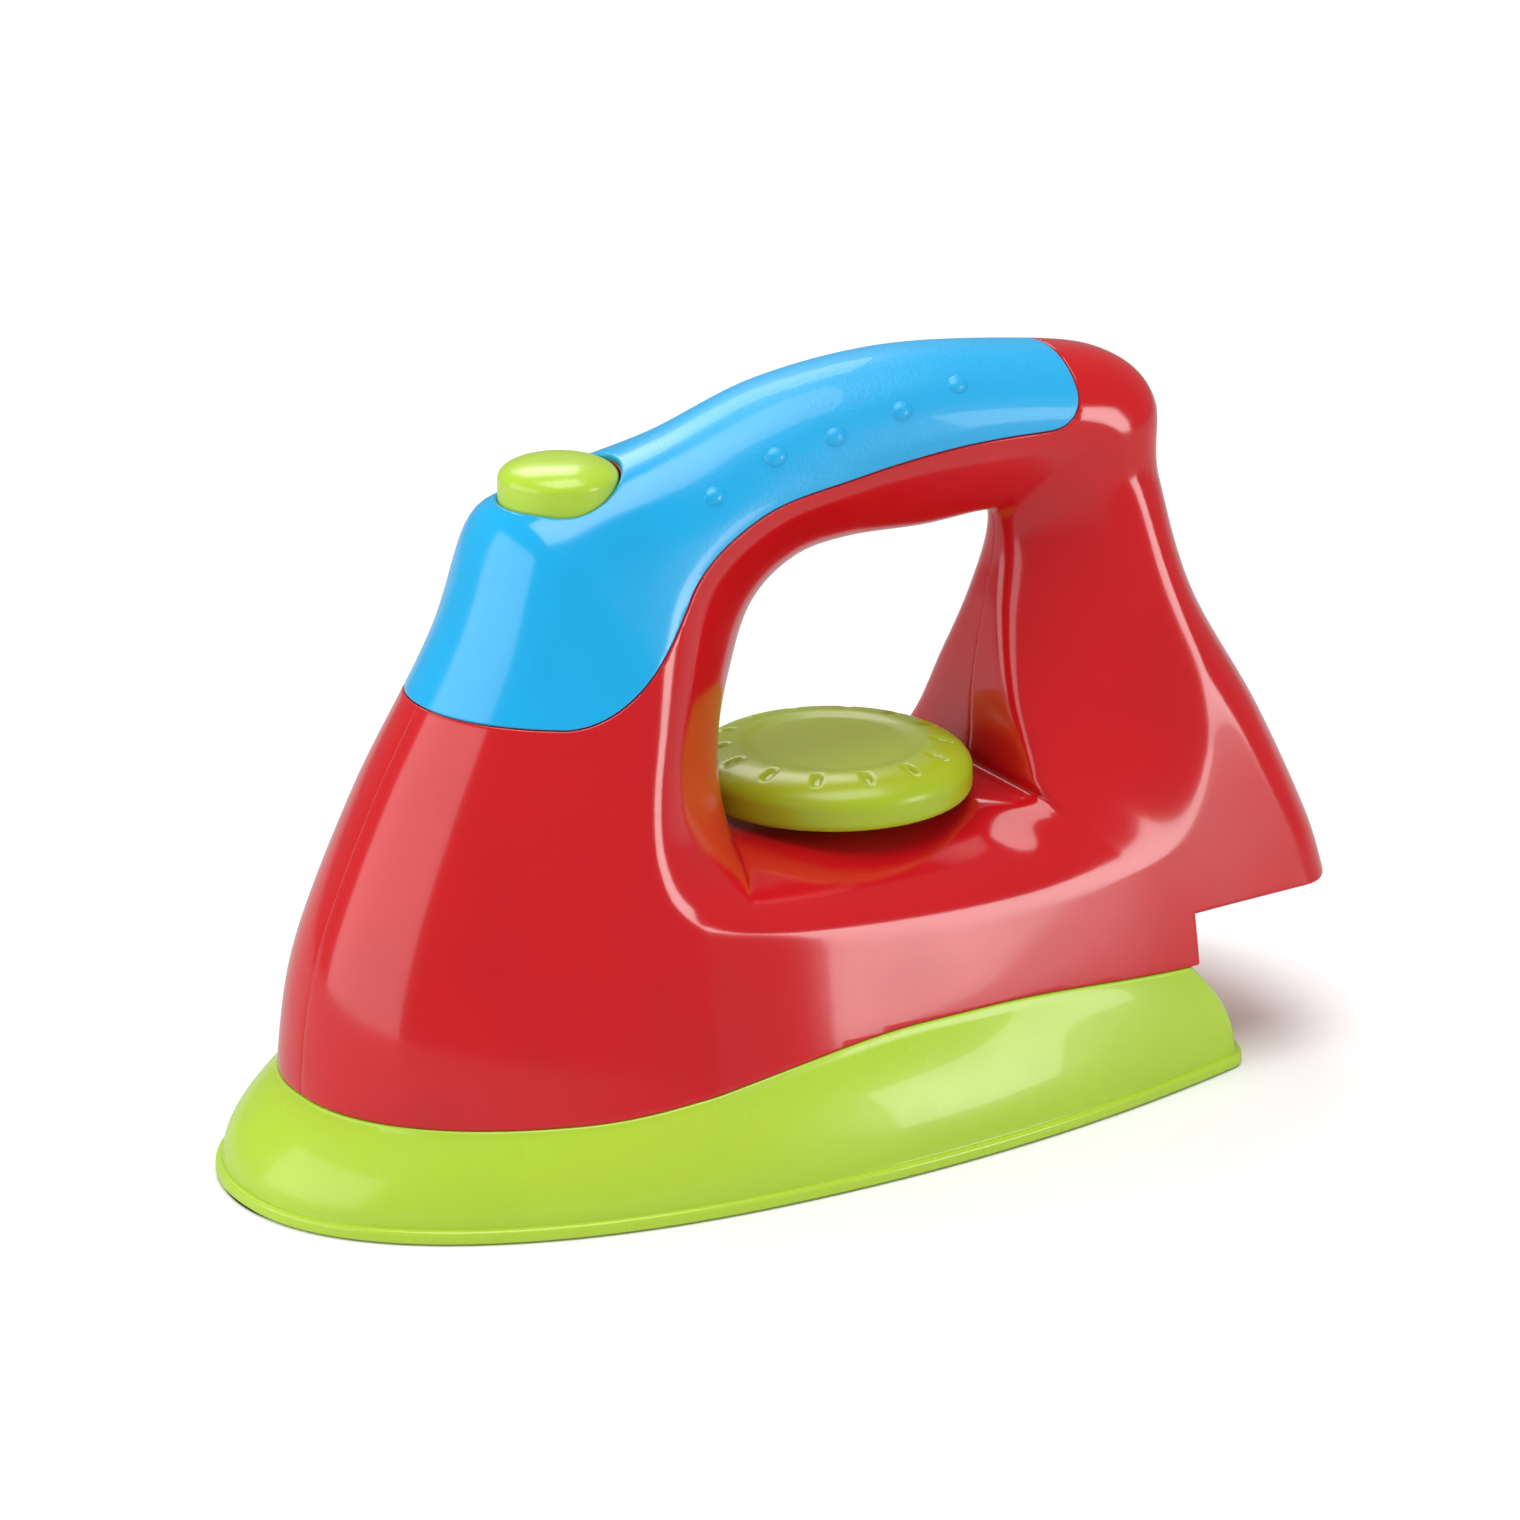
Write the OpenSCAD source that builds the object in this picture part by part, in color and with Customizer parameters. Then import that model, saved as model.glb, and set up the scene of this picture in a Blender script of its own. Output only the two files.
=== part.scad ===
// Toy iron in moulded plastic: two red body halves with a finger window, a blue
// cover over nose and handle, a lime skirt with the sole, a steam button and a dial.
// The nose points to -X, the left flank faces -Y, and the sole rests on z = 0.

/* [Sole] */
// Length of the sole
sole_l = 178; // [160:1:200]
// Width of the sole at its widest place
sole_w = 92; // [80:1:104]
// Length over which the rear corners of the sole are rounded
sole_corner = 7; // [4:0.5:12]
// Height of the thin lip round the sole
lip_h = 2.2; // [1.2:0.1:3.5]
// Step from the lip in to the flank of the skirt
lip_step = 1.2; // [0.4:0.1:2]
// Wall of the skirt
skirt_wall = 2.4; // [1.6:0.1:3]
// Thickness of the sole plate
floor_t = 2.4; // [1.6:0.1:3.2]
// Height of the seam between skirt and body at the nose
seam_nose_z = 16.5; // [13:0.5:20]
// Height of the seam where the wave is highest
seam_crest_z = 22.3; // [19:0.1:26]
// Height of the seam at the rear
seam_rear_z = 19.5; // [17:0.1:24]
// Width of the ledge of the skirt outside the body
seam_ledge = 0.8; // [0.3:0.1:1.6]

/* [Body] */
// Reach of the heel past the rear end of the sole
heel_overhang = 21.5; // [14:0.5:28]
// Height of the top of the handle
body_h = 125.5; // [115:0.5:135]
// Width of the body at the seam
body_w = 77; // [70:0.5:84]
// Wall of the body halves
wall = 2.4; // [1.8:0.1:3]
// Distance from the sole's tip to the rear wall under the heel
stand_l = 165; // [155:0.5:172]

/* [Window] */
// Distance from the sole's tip to the front of the finger window at its waist
window_x = 86; // [84:0.5:90]
// Length of the finger window at its waist
window_l = 57; // [54:0.5:60]
// Height of the deck under the dial
deck_z = 50; // [48:0.5:52]
// Drop from the top of the handle to the top of the window at its waist
handle_drop = 30; // [27:0.5:33]
// Distance from the sole's tip to the front of the window's rounded lip
rim_x = 63.5; // [61:0.5:66]
// Length of the window between its rounded lips
rim_l = 104; // [101:0.5:107]
// Height of the lowest place of the window's lip
rim_z = 40.5; // [38:0.5:43]
// Drop from the top of the handle to the highest place of the window's lip
rim_drop = 15; // [13:0.5:17]
// Rounding of the window's lip
rim_round = 2.4; // [1.2:0.1:3]

/* [Handle cover] */
// Thickness of the cover
cover_t = 1.1; // [0.8:0.1:1.4]
// Distance from the sole's tip to the rear end of the cover
cover_end_x = 152; // [146:0.5:156]
// Drop from the top of the handle to the cover's lower edge on the nose
cover_drop = 47.5; // [42:0.5:51]
// Length over which the cover's lower edge sweeps up to the window
cover_sweep = 24; // [20:0.5:28]
// Rim of red left between the window's lip and the cover
cover_rim = 1; // [0.5:0.1:2]
// Rounding of the cover's lower rear corners
cover_end_round = 6; // [3:0.5:8]
// Radius of the grip dots on the flanks of the cover
dot_r = 1.6; // [1.2:0.1:2]
// Height of the grip dots
dot_h = 0.45; // [0.3:0.05:0.6]
// Radius of the pegs that hold the cover
peg_r = 1.8; // [1.4:0.1:2.2]
// Length of the pegs below the cover
peg_l = 7; // [5:0.5:9]

/* [Steam button] */
// Distance from the sole's tip to the button's axis
button_x = 60; // [58:0.5:62]
// Radius of the button
button_r = 9.8; // [8.5:0.1:10.5]
// Height of the button above the cover
button_proud = 3.6; // [3:0.1:5]
// Travel of the button
button_travel = 2.8; // [2:0.1:3]
// Wall of the button's cap
button_wall = 1.8; // [1.2:0.1:2.2]
// Radius of the button's stem
button_stem_r = 2.4; // [2:0.1:3]
// Drop from the body's top line to the button's flange
flange_drop = 9; // [8:0.5:11]
// Thickness of the button's flange
flange_t = 1.6; // [1.2:0.1:2]
// Length of the button's stem below the shelf
stem_past = 3; // [2:0.5:5]
// Thickness of the shelf under the guide
shelf_t = 2; // [1.6:0.1:2.6]
// Height of the guide
guide_h = 10; // [8:0.5:11]
// Wall of the guide
guide_wall = 1.2; // [1:0.1:1.6]
// Floor of the guide
guide_floor = 1.6; // [1.2:0.1:2]
// Height of the ring on the shelf that holds the guide
guide_ring_h = 3; // [2:0.5:4]
// Diameter of the spring wire
wire_d = 0.7; // [0.5:0.1:0.9]
// Turns of the spring
spring_turns = 6; // [4:1:7]

/* [Dial] */
// Distance from the sole's tip to the dial's axis
dial_x = 111.5; // [110.5:0.5:112.5]
// Diameter of the dial
dial_d = 47; // [42:0.5:49]
// Height of the dial's rim
dial_h = 8; // [6:0.5:9]
// Gap between the deck and the dial's underside
dial_lift = 1.5; // [1:0.1:2.5]
// Depth of the dished top
dial_dish = 0.5; // [0.3:0.1:0.8]
// Width of the rounded shoulder round the dished top
shoulder_w = 7.8; // [6:0.1:9]
// Drop of the shoulder from the top to the rim
shoulder_drop = 4.4; // [3.6:0.1:5]
// Number of notches round the shoulder
notch_count = 14; // [10:1:18]
// Length of a notch
notch_l = 3.4; // [2.6:0.1:4]
// Width of a notch
notch_w = 1.5; // [1:0.1:2]
// Depth of a notch
notch_depth = 0.5; // [0.3:0.1:0.7]
// Wall of the dial
dial_wall = 1.8; // [1.2:0.1:2.2]
// Radius of the dial's stem
dial_stem_r = 5; // [4.4:0.1:6]
// Depth of the click wheel's underside below the deck
click_drop = 12; // [11:0.5:14]
// Number of clicks in one turn, in fours so that each quarter turn is a rest place
click_count = 12; // [8:4:20]
// Radius of the click wheel at its tips
click_r = 12.2; // [11:0.1:13]
// Depth of the wheel's valleys
click_depth = 1.2; // [0.8:0.1:1.6]
// Thickness of the click wheel
click_t = 4; // [3:0.5:5]
// Thickness of the click spring's strip
strip_t = 0.5; // [0.3:0.1:0.6]
// Length of the click spring from the dial's axis to its fixed end
strip_l = 25.5; // [24:0.5:27]
// Length of the post that holds the click spring
post_l = 7; // [6:0.5:8]
// Width of that post
post_w = 6; // [5:0.5:7]
// Depth of the post past the click wheel
post_lip = 1; // [0.6:0.1:1.4]
// Thickness of the washer under the click wheel
washer_t = 0.8; // [0.6:0.1:1]

/* [Screws] */
// Radius of a screw's thread
screw_r = 1.4; // [1.2:0.1:1.6]
// Radius of a screw's head
head_r = 2.8; // [2.4:0.1:3]
// Height of a screw's head
head_h = 1.8; // [1.4:0.1:2.2]
// Length of a screw under its head
screw_l = 12; // [10:0.5:14]
// Radius of a screw boss
boss_r = 4.4; // [4:0.1:5]
// Distance from the parting line to the seat of a body screw's head
screw_seat = 5; // [4:0.5:6]
// Material between the seat of a sole screw's head and the top of its column
column_pad = 6; // [5:0.5:7]
// Height of the bosses over the sole's columns
sole_boss_h = 19; // [16:0.5:21]
// Thickness of the ribs from those bosses to the flanks
rib_t = 2; // [1.6:0.1:2.6]

/* [Fits] */
// Radial clearance of a shaft that turns in its bearing
run_fit = 0.08; // [0.05:0.01:0.1]
// Clearance between pieces that slide or are laid in
free_fit = 0.3; // [0.2:0.05:0.4]
// Clearance between pieces that are seated on each other
seat_fit = 0.1; // [0.05:0.05:0.15]

/* [Hidden] */
$fn = 48;

// Overrun of every cut past the face that it opens
cut = 1;
// Whole length from the sole's tip to the heel
reach = sole_l + heel_overhang;
half_w = body_w / 2;

// Side outline from the nose over the handle to the heel, as shares of reach and body_h
outline_shares = [[0.058, 0.048], [0.058, 0.175], [0.075, 0.319], [0.130, 0.518],
    [0.198, 0.709], [0.236, 0.857], [0.291, 0.896], [0.401, 0.936], [0.501, 0.984],
    [0.617, 1], [0.742, 0.980], [0.822, 0.951], [0.860, 0.892], [0.862, 0.789],
    [0.885, 0.637], [0.942, 0.470], [0.985, 0.319], [1, 0.235], [1, 0.223]];
// Distance from the sole's tip to the nose of the body
nose_x = outline_shares[0].x * reach;
// Floor of the body's outline below the seam, which the seam cuts away
keel_z = outline_shares[0].y * body_h;
// Height of the heel's underside
heel_z = outline_shares[len(outline_shares) - 1].y * body_h;
// Heights of the window at its waist and between its rounded lips
window_h = body_h - handle_drop - deck_z;
rim_h = body_h - rim_drop - rim_z;
// Waist of the finger window, as shares of window_l and window_h
waist_shares = [[0, 0.066], [0.009, 0.33], [0.07, 0.593], [0.158, 0.824], [0.298, 0.952],
    [0.474, 0.989], [0.737, 0.980], [0.921, 0.993], [0.991, 0.978], [1, 0.835],
    [0.965, 0.615], [0.930, 0.352], [0.921, 0.088], [0.877, 0.011], [0.456, 0], [0.044, 0.007]];
// Rounded lip of the finger window, as shares of rim_l and rim_h
rim_shares = [[0.005, 0.207], [0.010, 0.364], [0.053, 0.564], [0.120, 0.793], [0.255, 0.919],
    [0.428, 0.964], [0.639, 0.997], [0.822, 0.986], [0.899, 0.907], [0.947, 0.664],
    [0.995, 0.393], [0.995, 0.193], [0.909, 0.029], [0.688, 0], [0.399, 0.014],
    [0.159, 0.050], [0.043, 0.100]];
// Half width of the body at a share of body_h, as a share of half_w
flank_shares = [[0.05, 1.07], [0.16, 1], [0.33, 0.87], [0.50, 0.745], [0.64, 0.60],
    [0.80, 0.44], [0.88, 0.36]];
// Half width of the body at a share of reach, as a share of that at the middle
plan_shares = [[0.43, 1], [0.61, 0.94], [0.76, 0.87], [0.83, 0.82], [1, 0.74]];
// Length over which the nose rounds in, at a share of body_h, as a share of reach
nose_round_shares = [[0.16, 0.33], [0.48, 0.23], [0.64, 0.165], [0.80, 0.08], [0.89, 0.05]];
// Length over which handle and rear round in, at a share of body_h, as a share of reach
rear_round_shares = [[0.16, 0.055], [0.76, 0.055], [0.89, 0.075]];
// Start and end of the change from nose rounding to handle rounding, as shares of reach
round_change_shares = [0.31, 0.42];
// Places along the body where the seam starts to rise, is highest, starts to fall and ends, as shares
wave_shares = [0.22, 0.54, 0.60, 0.86];
// Centre from which the sections are laid, as shares of the window's waist
centre_shares = [0.53, 0.48];
// Fullness of the window's flare at an angle round the window
flare_powers = [[0, 3.2], [25, 1.8], [45, 1.3], [180, 1.3], [215, 2.4], [300, 2.4], [318, 7], [340, 7], [360, 3.2]];

function smooth_step(t) = let (u = max(0, min(1, t))) u * u * (3 - 2 * u);
function unit(v) = v / norm(v);
function bend(a, b, c, d, t) = (2 * b + (c - a) * t + (2 * a - 5 * b + 4 * c - d) * t * t
    + (3 * b - a - 3 * c + d) * t * t * t) / 2;
// Smooth curve through the points, with count steps between each two
function smooth_chain(p, count) = let (n = len(p)) concat(
    [for (i = [0:n - 2], k = [0:count - 1])
        bend(p[max(i - 1, 0)], p[i], p[i + 1], p[min(i + 2, n - 1)], k / count)], [p[n - 1]]);
function smooth_loop(p, count) = let (n = len(p)) [for (i = [0:n - 1], k = [0:count - 1])
    bend(p[(i + n - 1) % n], p[i], p[(i + 1) % n], p[(i + 2) % n], k / count)];
function scaled(p, size, place) = [for (q = p) [place.x + q.x * size.x, place.y + q.y * size.y]];

outline = smooth_chain(scaled(outline_shares, [reach, body_h], [0, 0]), 4);
waist = smooth_loop(scaled(waist_shares, [window_l, window_h], [window_x, deck_z]), 4);
rim = smooth_loop(scaled(rim_shares, [rim_l, rim_h], [rim_x, rim_z]), 4);
under = [[stand_l, heel_z], [stand_l, keel_z]];
outer = concat(outline, under);
centre = [window_x + centre_shares.x * window_l, deck_z + centre_shares.y * window_h];

// Distance from the window's centre to a closed outline, along an angle
function ray(loop, angle) = let (n = len(loop), d = [cos(angle), sin(angle)],
    hits = [for (i = [0:n - 1]) let (a = loop[i] - centre, b = loop[(i + 1) % n] - centre,
        ca = cross(d, a), cb = cross(d, b), s = ca == cb ? 0 : ca / (ca - cb),
        r = (a + s * (b - a)) * d) if (ca * cb <= 0 && ca != cb && r > 0) r]) max(hits);
function segment_gap(p, a, b) = let (ab = b - a,
    t = max(0, min(1, (p - a) * ab / (ab * ab)))) norm(p - a - t * ab);
function outline_gap(p) = min([for (i = [0:len(outline) - 2])
    segment_gap(p, outline[i], outline[i + 1])]);
// Rise of a rounded edge from 0 at the outline to 1
function round_in(s) = s >= 1 ? 1 : pow(1 - pow(1 - max(s, 0), 2.3), 1 / 2.2);
// Half width of the body at a place of the side view
function half_at(p) = let (zs = p.y / body_h, xs = p.x / reach,
    front = lookup(zs, nose_round_shares), rear = lookup(zs, rear_round_shares),
    run = reach * (front + (rear - front)
        * smooth_step((xs - round_change_shares[0]) / (round_change_shares[1] - round_change_shares[0]))))
    half_w * max(lookup(zs, flank_shares) * lookup(xs, plan_shares), lookup(1, flank_shares))
    * round_in(outline_gap(p) / run);
function wave(x, i) = smooth_step((x / reach - wave_shares[i]) / (wave_shares[i + 1] - wave_shares[i]));
function seam_z(x) = seam_nose_z + (seam_crest_z - seam_nose_z) * wave(x, 0)
    - (seam_crest_z - seam_rear_z) * wave(x, 2);

// Angles round the window that meet the corners of the outline
function angle_to(p) = atan2(p.y - centre.y, p.x - centre.x);
heel_angle = angle_to(outline[len(outline) - 1]);
keel_angle = 360 + angle_to(outline[0]);
stand_angle = 360 + angle_to(under[1]);
notch_angle = 360 + angle_to(under[0]);
ring_steps = 40;
keel_steps = 11;
// Places of the sections along the heel's underside, closer together at its rounded tip
heel_shares = [0, 0.35, 0.65, 0.80, 0.93];
ring_angles = concat(
    [for (i = [0:ring_steps - 1]) heel_angle + (keel_angle - heel_angle) * i / ring_steps],
    [for (i = [0:keel_steps - 1]) keel_angle + (stand_angle - keel_angle) * i / keel_steps],
    [for (i = [0:1]) stand_angle + (notch_angle - stand_angle) * i / 2],
    [for (share = heel_shares) 360 + angle_to([stand_l + share * (reach - stand_l), heel_z])]);
// The section meets a floor, and not a rounded edge, between these angles
function on_floor(angle) = angle > keel_angle && angle < 360 + heel_angle;

function flare(s, e) = let (c = 0.3, low = pow(c, e))
    (pow(s * s + c * c, e / 2) - low) / (pow(1 + c * c, e / 2) - low);
// One section of the body from the window's waist to the outline, as [radius, half width]
function section(angle, sharp) = let (
    d = [cos(angle), sin(angle)], r0 = ray(waist, angle), r1 = ray(rim, angle), r2 = ray(outer, angle),
    y1 = half_at(centre + r1 * d), e = lookup(angle < 0 ? angle + 360 : angle % 360, flare_powers),
    inner = [for (s = sharp ? [0, 0.3, 0.6, 0.82] : [0, 0.25, 0.5, 0.7, 0.84, 0.94])
        [r0 + (r1 - r0) * flare(s, e), y1 * s]],
    tip = sharp || angle < notch_angle || !on_floor(angle) ? 0
        : smooth_step(((centre.x + r2 * d.x - stand_l) / (reach - stand_l) - heel_shares[2])
            / (heel_shares[3] - heel_shares[2])),
    run = r2 - r1 - rim_round + (tip > 0 ? ((reach - centre.x) / d.x - r2) * tip : 0),
    last = on_floor(angle) ? 1 - (1 - sin(84)) * tip : sin(84),
    even = sharp && on_floor(angle) && run < 12 * wall,
    side_r = [for (k = [0:7]) r1 + rim_round + run * (even ? k / 7 : sin(90 * k / 7) * last)],
    flat = len([for (r = side_r) if (r > r2) r]),
    side = [for (k = [0:7]) side_r[k] <= r2 ? [side_r[k], half_at(centre + side_r[k] * d)]
        : [r2, half_at(centre + r2 * d) * (8 - k) / flat]],
    turn = sharp ? [r1, y1] : (inner[5] + 2 * [r1, y1] + side[0]) / 4)
    concat(inner, [turn], [for (k = sharp ? [1, 2, 3, 4, 5, 7] : [0:7]) side[k]], [[r2, 0]]);
// The same line moved into the material by t
function inset(p, t) = let (n = len(p)) [for (i = [0:n - 1]) let (
    a = i == 0 ? [p[1].x, -p[1].y] : p[i - 1], b = i == n - 1 ? [p[i - 1].x, -p[i - 1].y] : p[i + 1],
    u = unit(p[i] - a), w = unit(u + unit(b - p[i])), c = max(0.6, u * w))
    [p[i].x + t * w.y / c, max(p[i].y - t * w.x / c, 0)]];
function placed(p, angle, side) = [for (q = p)
    [centre.x + q.x * cos(angle), side * q.y, centre.y + q.x * sin(angle)]];
function reversed(p) = [for (i = [len(p) - 1:-1:0]) p[i]];

// Triangles between closed rows of cols points, with the shorter diagonal in each four-sided cell
function strip_faces(points, rows, cols, wrap, flip) = [
    for (i = [0:rows - (wrap ? 1 : 2)], j = [0:cols - 1]) let (
        m = (i + 1) % rows, a = i * cols + j, b = i * cols + (j + 1) % cols,
        c = m * cols + (j + 1) % cols, d = m * cols + j,
        short = norm(points[a] - points[c]) <= norm(points[b] - points[d]))
        for (f = short ? [[a, b, c], [a, c, d]] : [[a, b, d], [b, c, d]]) flip ? reversed(f) : f];

// Hollow half of the body, side 1 for the right flank and -1 for the left
module half_shell(side) {
    rows = [for (a = ring_angles) placed(concat(section(a, false),
        reversed(inset(section(a, true), wall))), a, side)];
    points = [for (r = rows) each r];
    polyhedron(points = points,
        faces = strip_faces(points, len(rows), len(rows[0]), true, side < 0), convexity = 10);
}

// Solid part of the body from one angle to another, inset by t, over both flanks
module solid_arc(from, to, steps, t) {
    rows = [for (i = [0:steps]) let (a = from + (to - from) * i / steps,
        p = inset(section(a, false), t)) concat(placed(p, a, 1),
        placed([for (k = [len(p) - 2:-1:1]) p[k]], a, -1))];
    n = len(rows[0]);
    points = [for (r = rows) each r];
    polyhedron(points = points, faces = concat(strip_faces(points, len(rows), n, false, false),
        [[for (j = [n - 1:-1:0]) j]], [[for (j = [0:n - 1]) steps * n + j]]), convexity = 10);
}

module at_origin() {
    translate([-reach / 2, 0, 0])
        children();
}

// Extrudes a side view across the whole body
module across(width) {
    translate([0, width / 2, 0])
        rotate([90, 0, 0])
            linear_extrude(width)
                children();
}

// Height of the top line over a place along the body
top_line = [for (p = outline) if (p.y > 0.86 * body_h && p.x < 0.85 * reach) p];
function top_at(x) = lookup(x, top_line);
// Height of the cover's lower edge on the nose
cover_low_z = body_h - cover_drop;
// Angles round the window between which the cover follows its lip
cover_from = 56;
cover_to = 152;
cover_step = 6;
function lip_point(a, g) = centre + (ray(rim, a) + cover_rim - g) * [cos(a), sin(a)];
cover_leave = lip_point(cover_to, 0);
cover_corner = [cover_end_x - cover_end_round, lip_point(cover_from, 0).y + cover_end_round];
// Side view of the handle cover, grown by g past its edges
function cover_region(g) = concat(
    [for (a = [cover_from:cover_step:cover_to - cover_step]) lip_point(a, g)],
    [for (s = [1, 0.8, 0.6, 0.4, 0.2, 0]) [cover_leave.x - (1 - s) * cover_sweep,
        cover_low_z - g + (cover_leave.y - cover_low_z) * s * s]],
    [[nose_x, cover_low_z - g + 0.02 * body_h], [nose_x, body_h + wall], [cover_end_x + g, body_h + wall]],
    [for (a = [0:-15:-90]) cover_corner + (cover_end_round + g) * [cos(a), sin(a)]]);
// Angles that reach past both ends of the cover, with a margin in degrees
cover_margin = 3;
past_from = angle_to([cover_end_x, cover_corner.y - cover_end_round]) - cover_margin;
past_to = (angle_to([nose_x, cover_low_z]) + 360) % 360 + cover_margin;
arc_steps = 23;

// Solid under the cover, which its underside follows
module cover_core() {
    solid_arc(past_from - cover_margin, past_to + cover_margin, arc_steps, cover_t);
}

// Screws through both halves, from the right: distance along the body and height
body_screw_shares = [[0.175, 0.285], [0.262, 0.558], [0.432, 0.252], [0.792, 0.270], [0.893, 0.492],
    [0.815, 0.892]];
function screw_place(i) = [body_screw_shares[i].x * reach, body_screw_shares[i].y * body_h];
// Screws through the sole: distance along the body, and half their spacing, as a share of half_w
sole_screw_shares = [[0.24, 0.66], [0.70, 0.62]];
function sole_place(i) = [sole_screw_shares[i].x * reach, sole_screw_shares[i].y * half_w];
// Top of the columns on the sole plate, and the seat of a sole screw's head inside them
column_z = seam_nose_z - free_fit;
sole_seat_z = column_z - column_pad;

// Largest reach of a boss that stays inside the flank
function boss_end(p, r) = min([for (a = [0:45:315]) half_at(p + r * [cos(a), sin(a)])]) - wall / 2;

// Round bar along Y from one distance to another
module bar(p, from, to, r) {
    translate([p.x, from, p.y])
        rotate([-90, 0, 0])
            cylinder(r = r, h = to - from);
}

// Rib from a boss out to the flank
module rib(side, p, from, to) {
    translate([p.x + rib_t / 2, 0, 0])
        rotate([0, -90, 0])
            linear_extrude(rib_t)
                polygon([[from, side * p.y], [to, side * p.y],
                    [to, side * (half_at([p.x, to]) - wall / 2)],
                    [from, side * (half_at([p.x, from]) - wall / 2)]]);
}

// Flat shelf across one half, following the flank
module shelf(side, z, from, to) {
    steps = 6;
    line = [for (i = [0:steps]) let (x = from + (to - from) * i / steps)
        [x, side * (half_at([x, z]) - wall / 2)]];
    translate([0, 0, z - shelf_t])
        linear_extrude(shelf_t)
            polygon(concat([[from, 0]], line, [[to, 0]]));
}

// Half of a round tube round the Z axis
module half_tube(side, x, from, to, r, bore) {
    translate([x, 0, from])
        rotate([0, 0, side > 0 ? 0 : 180])
            rotate_extrude(angle = 180)
                translate([bore, 0])
                    square([r - bore, to - from]);
}

// Button, guide and spring stand over the shelf, and a collar under the top stops the flange
guide_share = 0.70;
guide_z = guide_share * body_h;
flange_r = button_r + guide_wall - free_fit;
guide_r = flange_r + free_fit + guide_wall;
button_top_z = top_at(button_x) + button_proud;
flange_z = top_at(button_x) - flange_drop;
collar_r = button_r + free_fit + guide_wall;
collar_from = 124;
collar_to = 166;
// Spring between the guide's floor and the flange
spring_low = guide_z + guide_floor;
coil_r = button_r - button_wall / 2;
// Dial, click wheel and click spring under the deck
dial_z = deck_z + dial_lift;
click_z = deck_z - click_drop;
bearing_r = dial_stem_r + 1.4 * wall;
bearing_z = click_z + click_t + free_fit;
drive_w = 1.28 * dial_stem_r;
strip_y = click_r + 3 * strip_t;
strip_end_x = dial_x + strip_l;
post_z = click_z - post_lip;

// Grip dots: distance along the body, and drop from the top line as a share of the cover's depth there
dot_shares = [[0.407, 0.50], [0.467, 0.45], [0.524, 0.49], [0.591, 0.43], [0.649, 0.31]];
lip_line = [for (a = [cover_to:-cover_step:cover_from]) lip_point(a, 0)];
function dot_place(share) = let (x = share.x * reach, top = top_at(x))
    [x, top - share.y * (top - lookup(x, lip_line))];
// Pegs of the cover
peg_shares = [0.51, 0.70];
peg_places = [for (share = peg_shares) share * reach];
peg_y = 0.42 * lookup(1, flank_shares) * half_w;
// Steps along the seam
seam_steps = 20;

module screw_boss(side, p) {
    bar(p, side > 0 ? 0 : -boss_end(p, boss_r), side > 0 ? boss_end(p, boss_r) : 0, boss_r);
}

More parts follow.
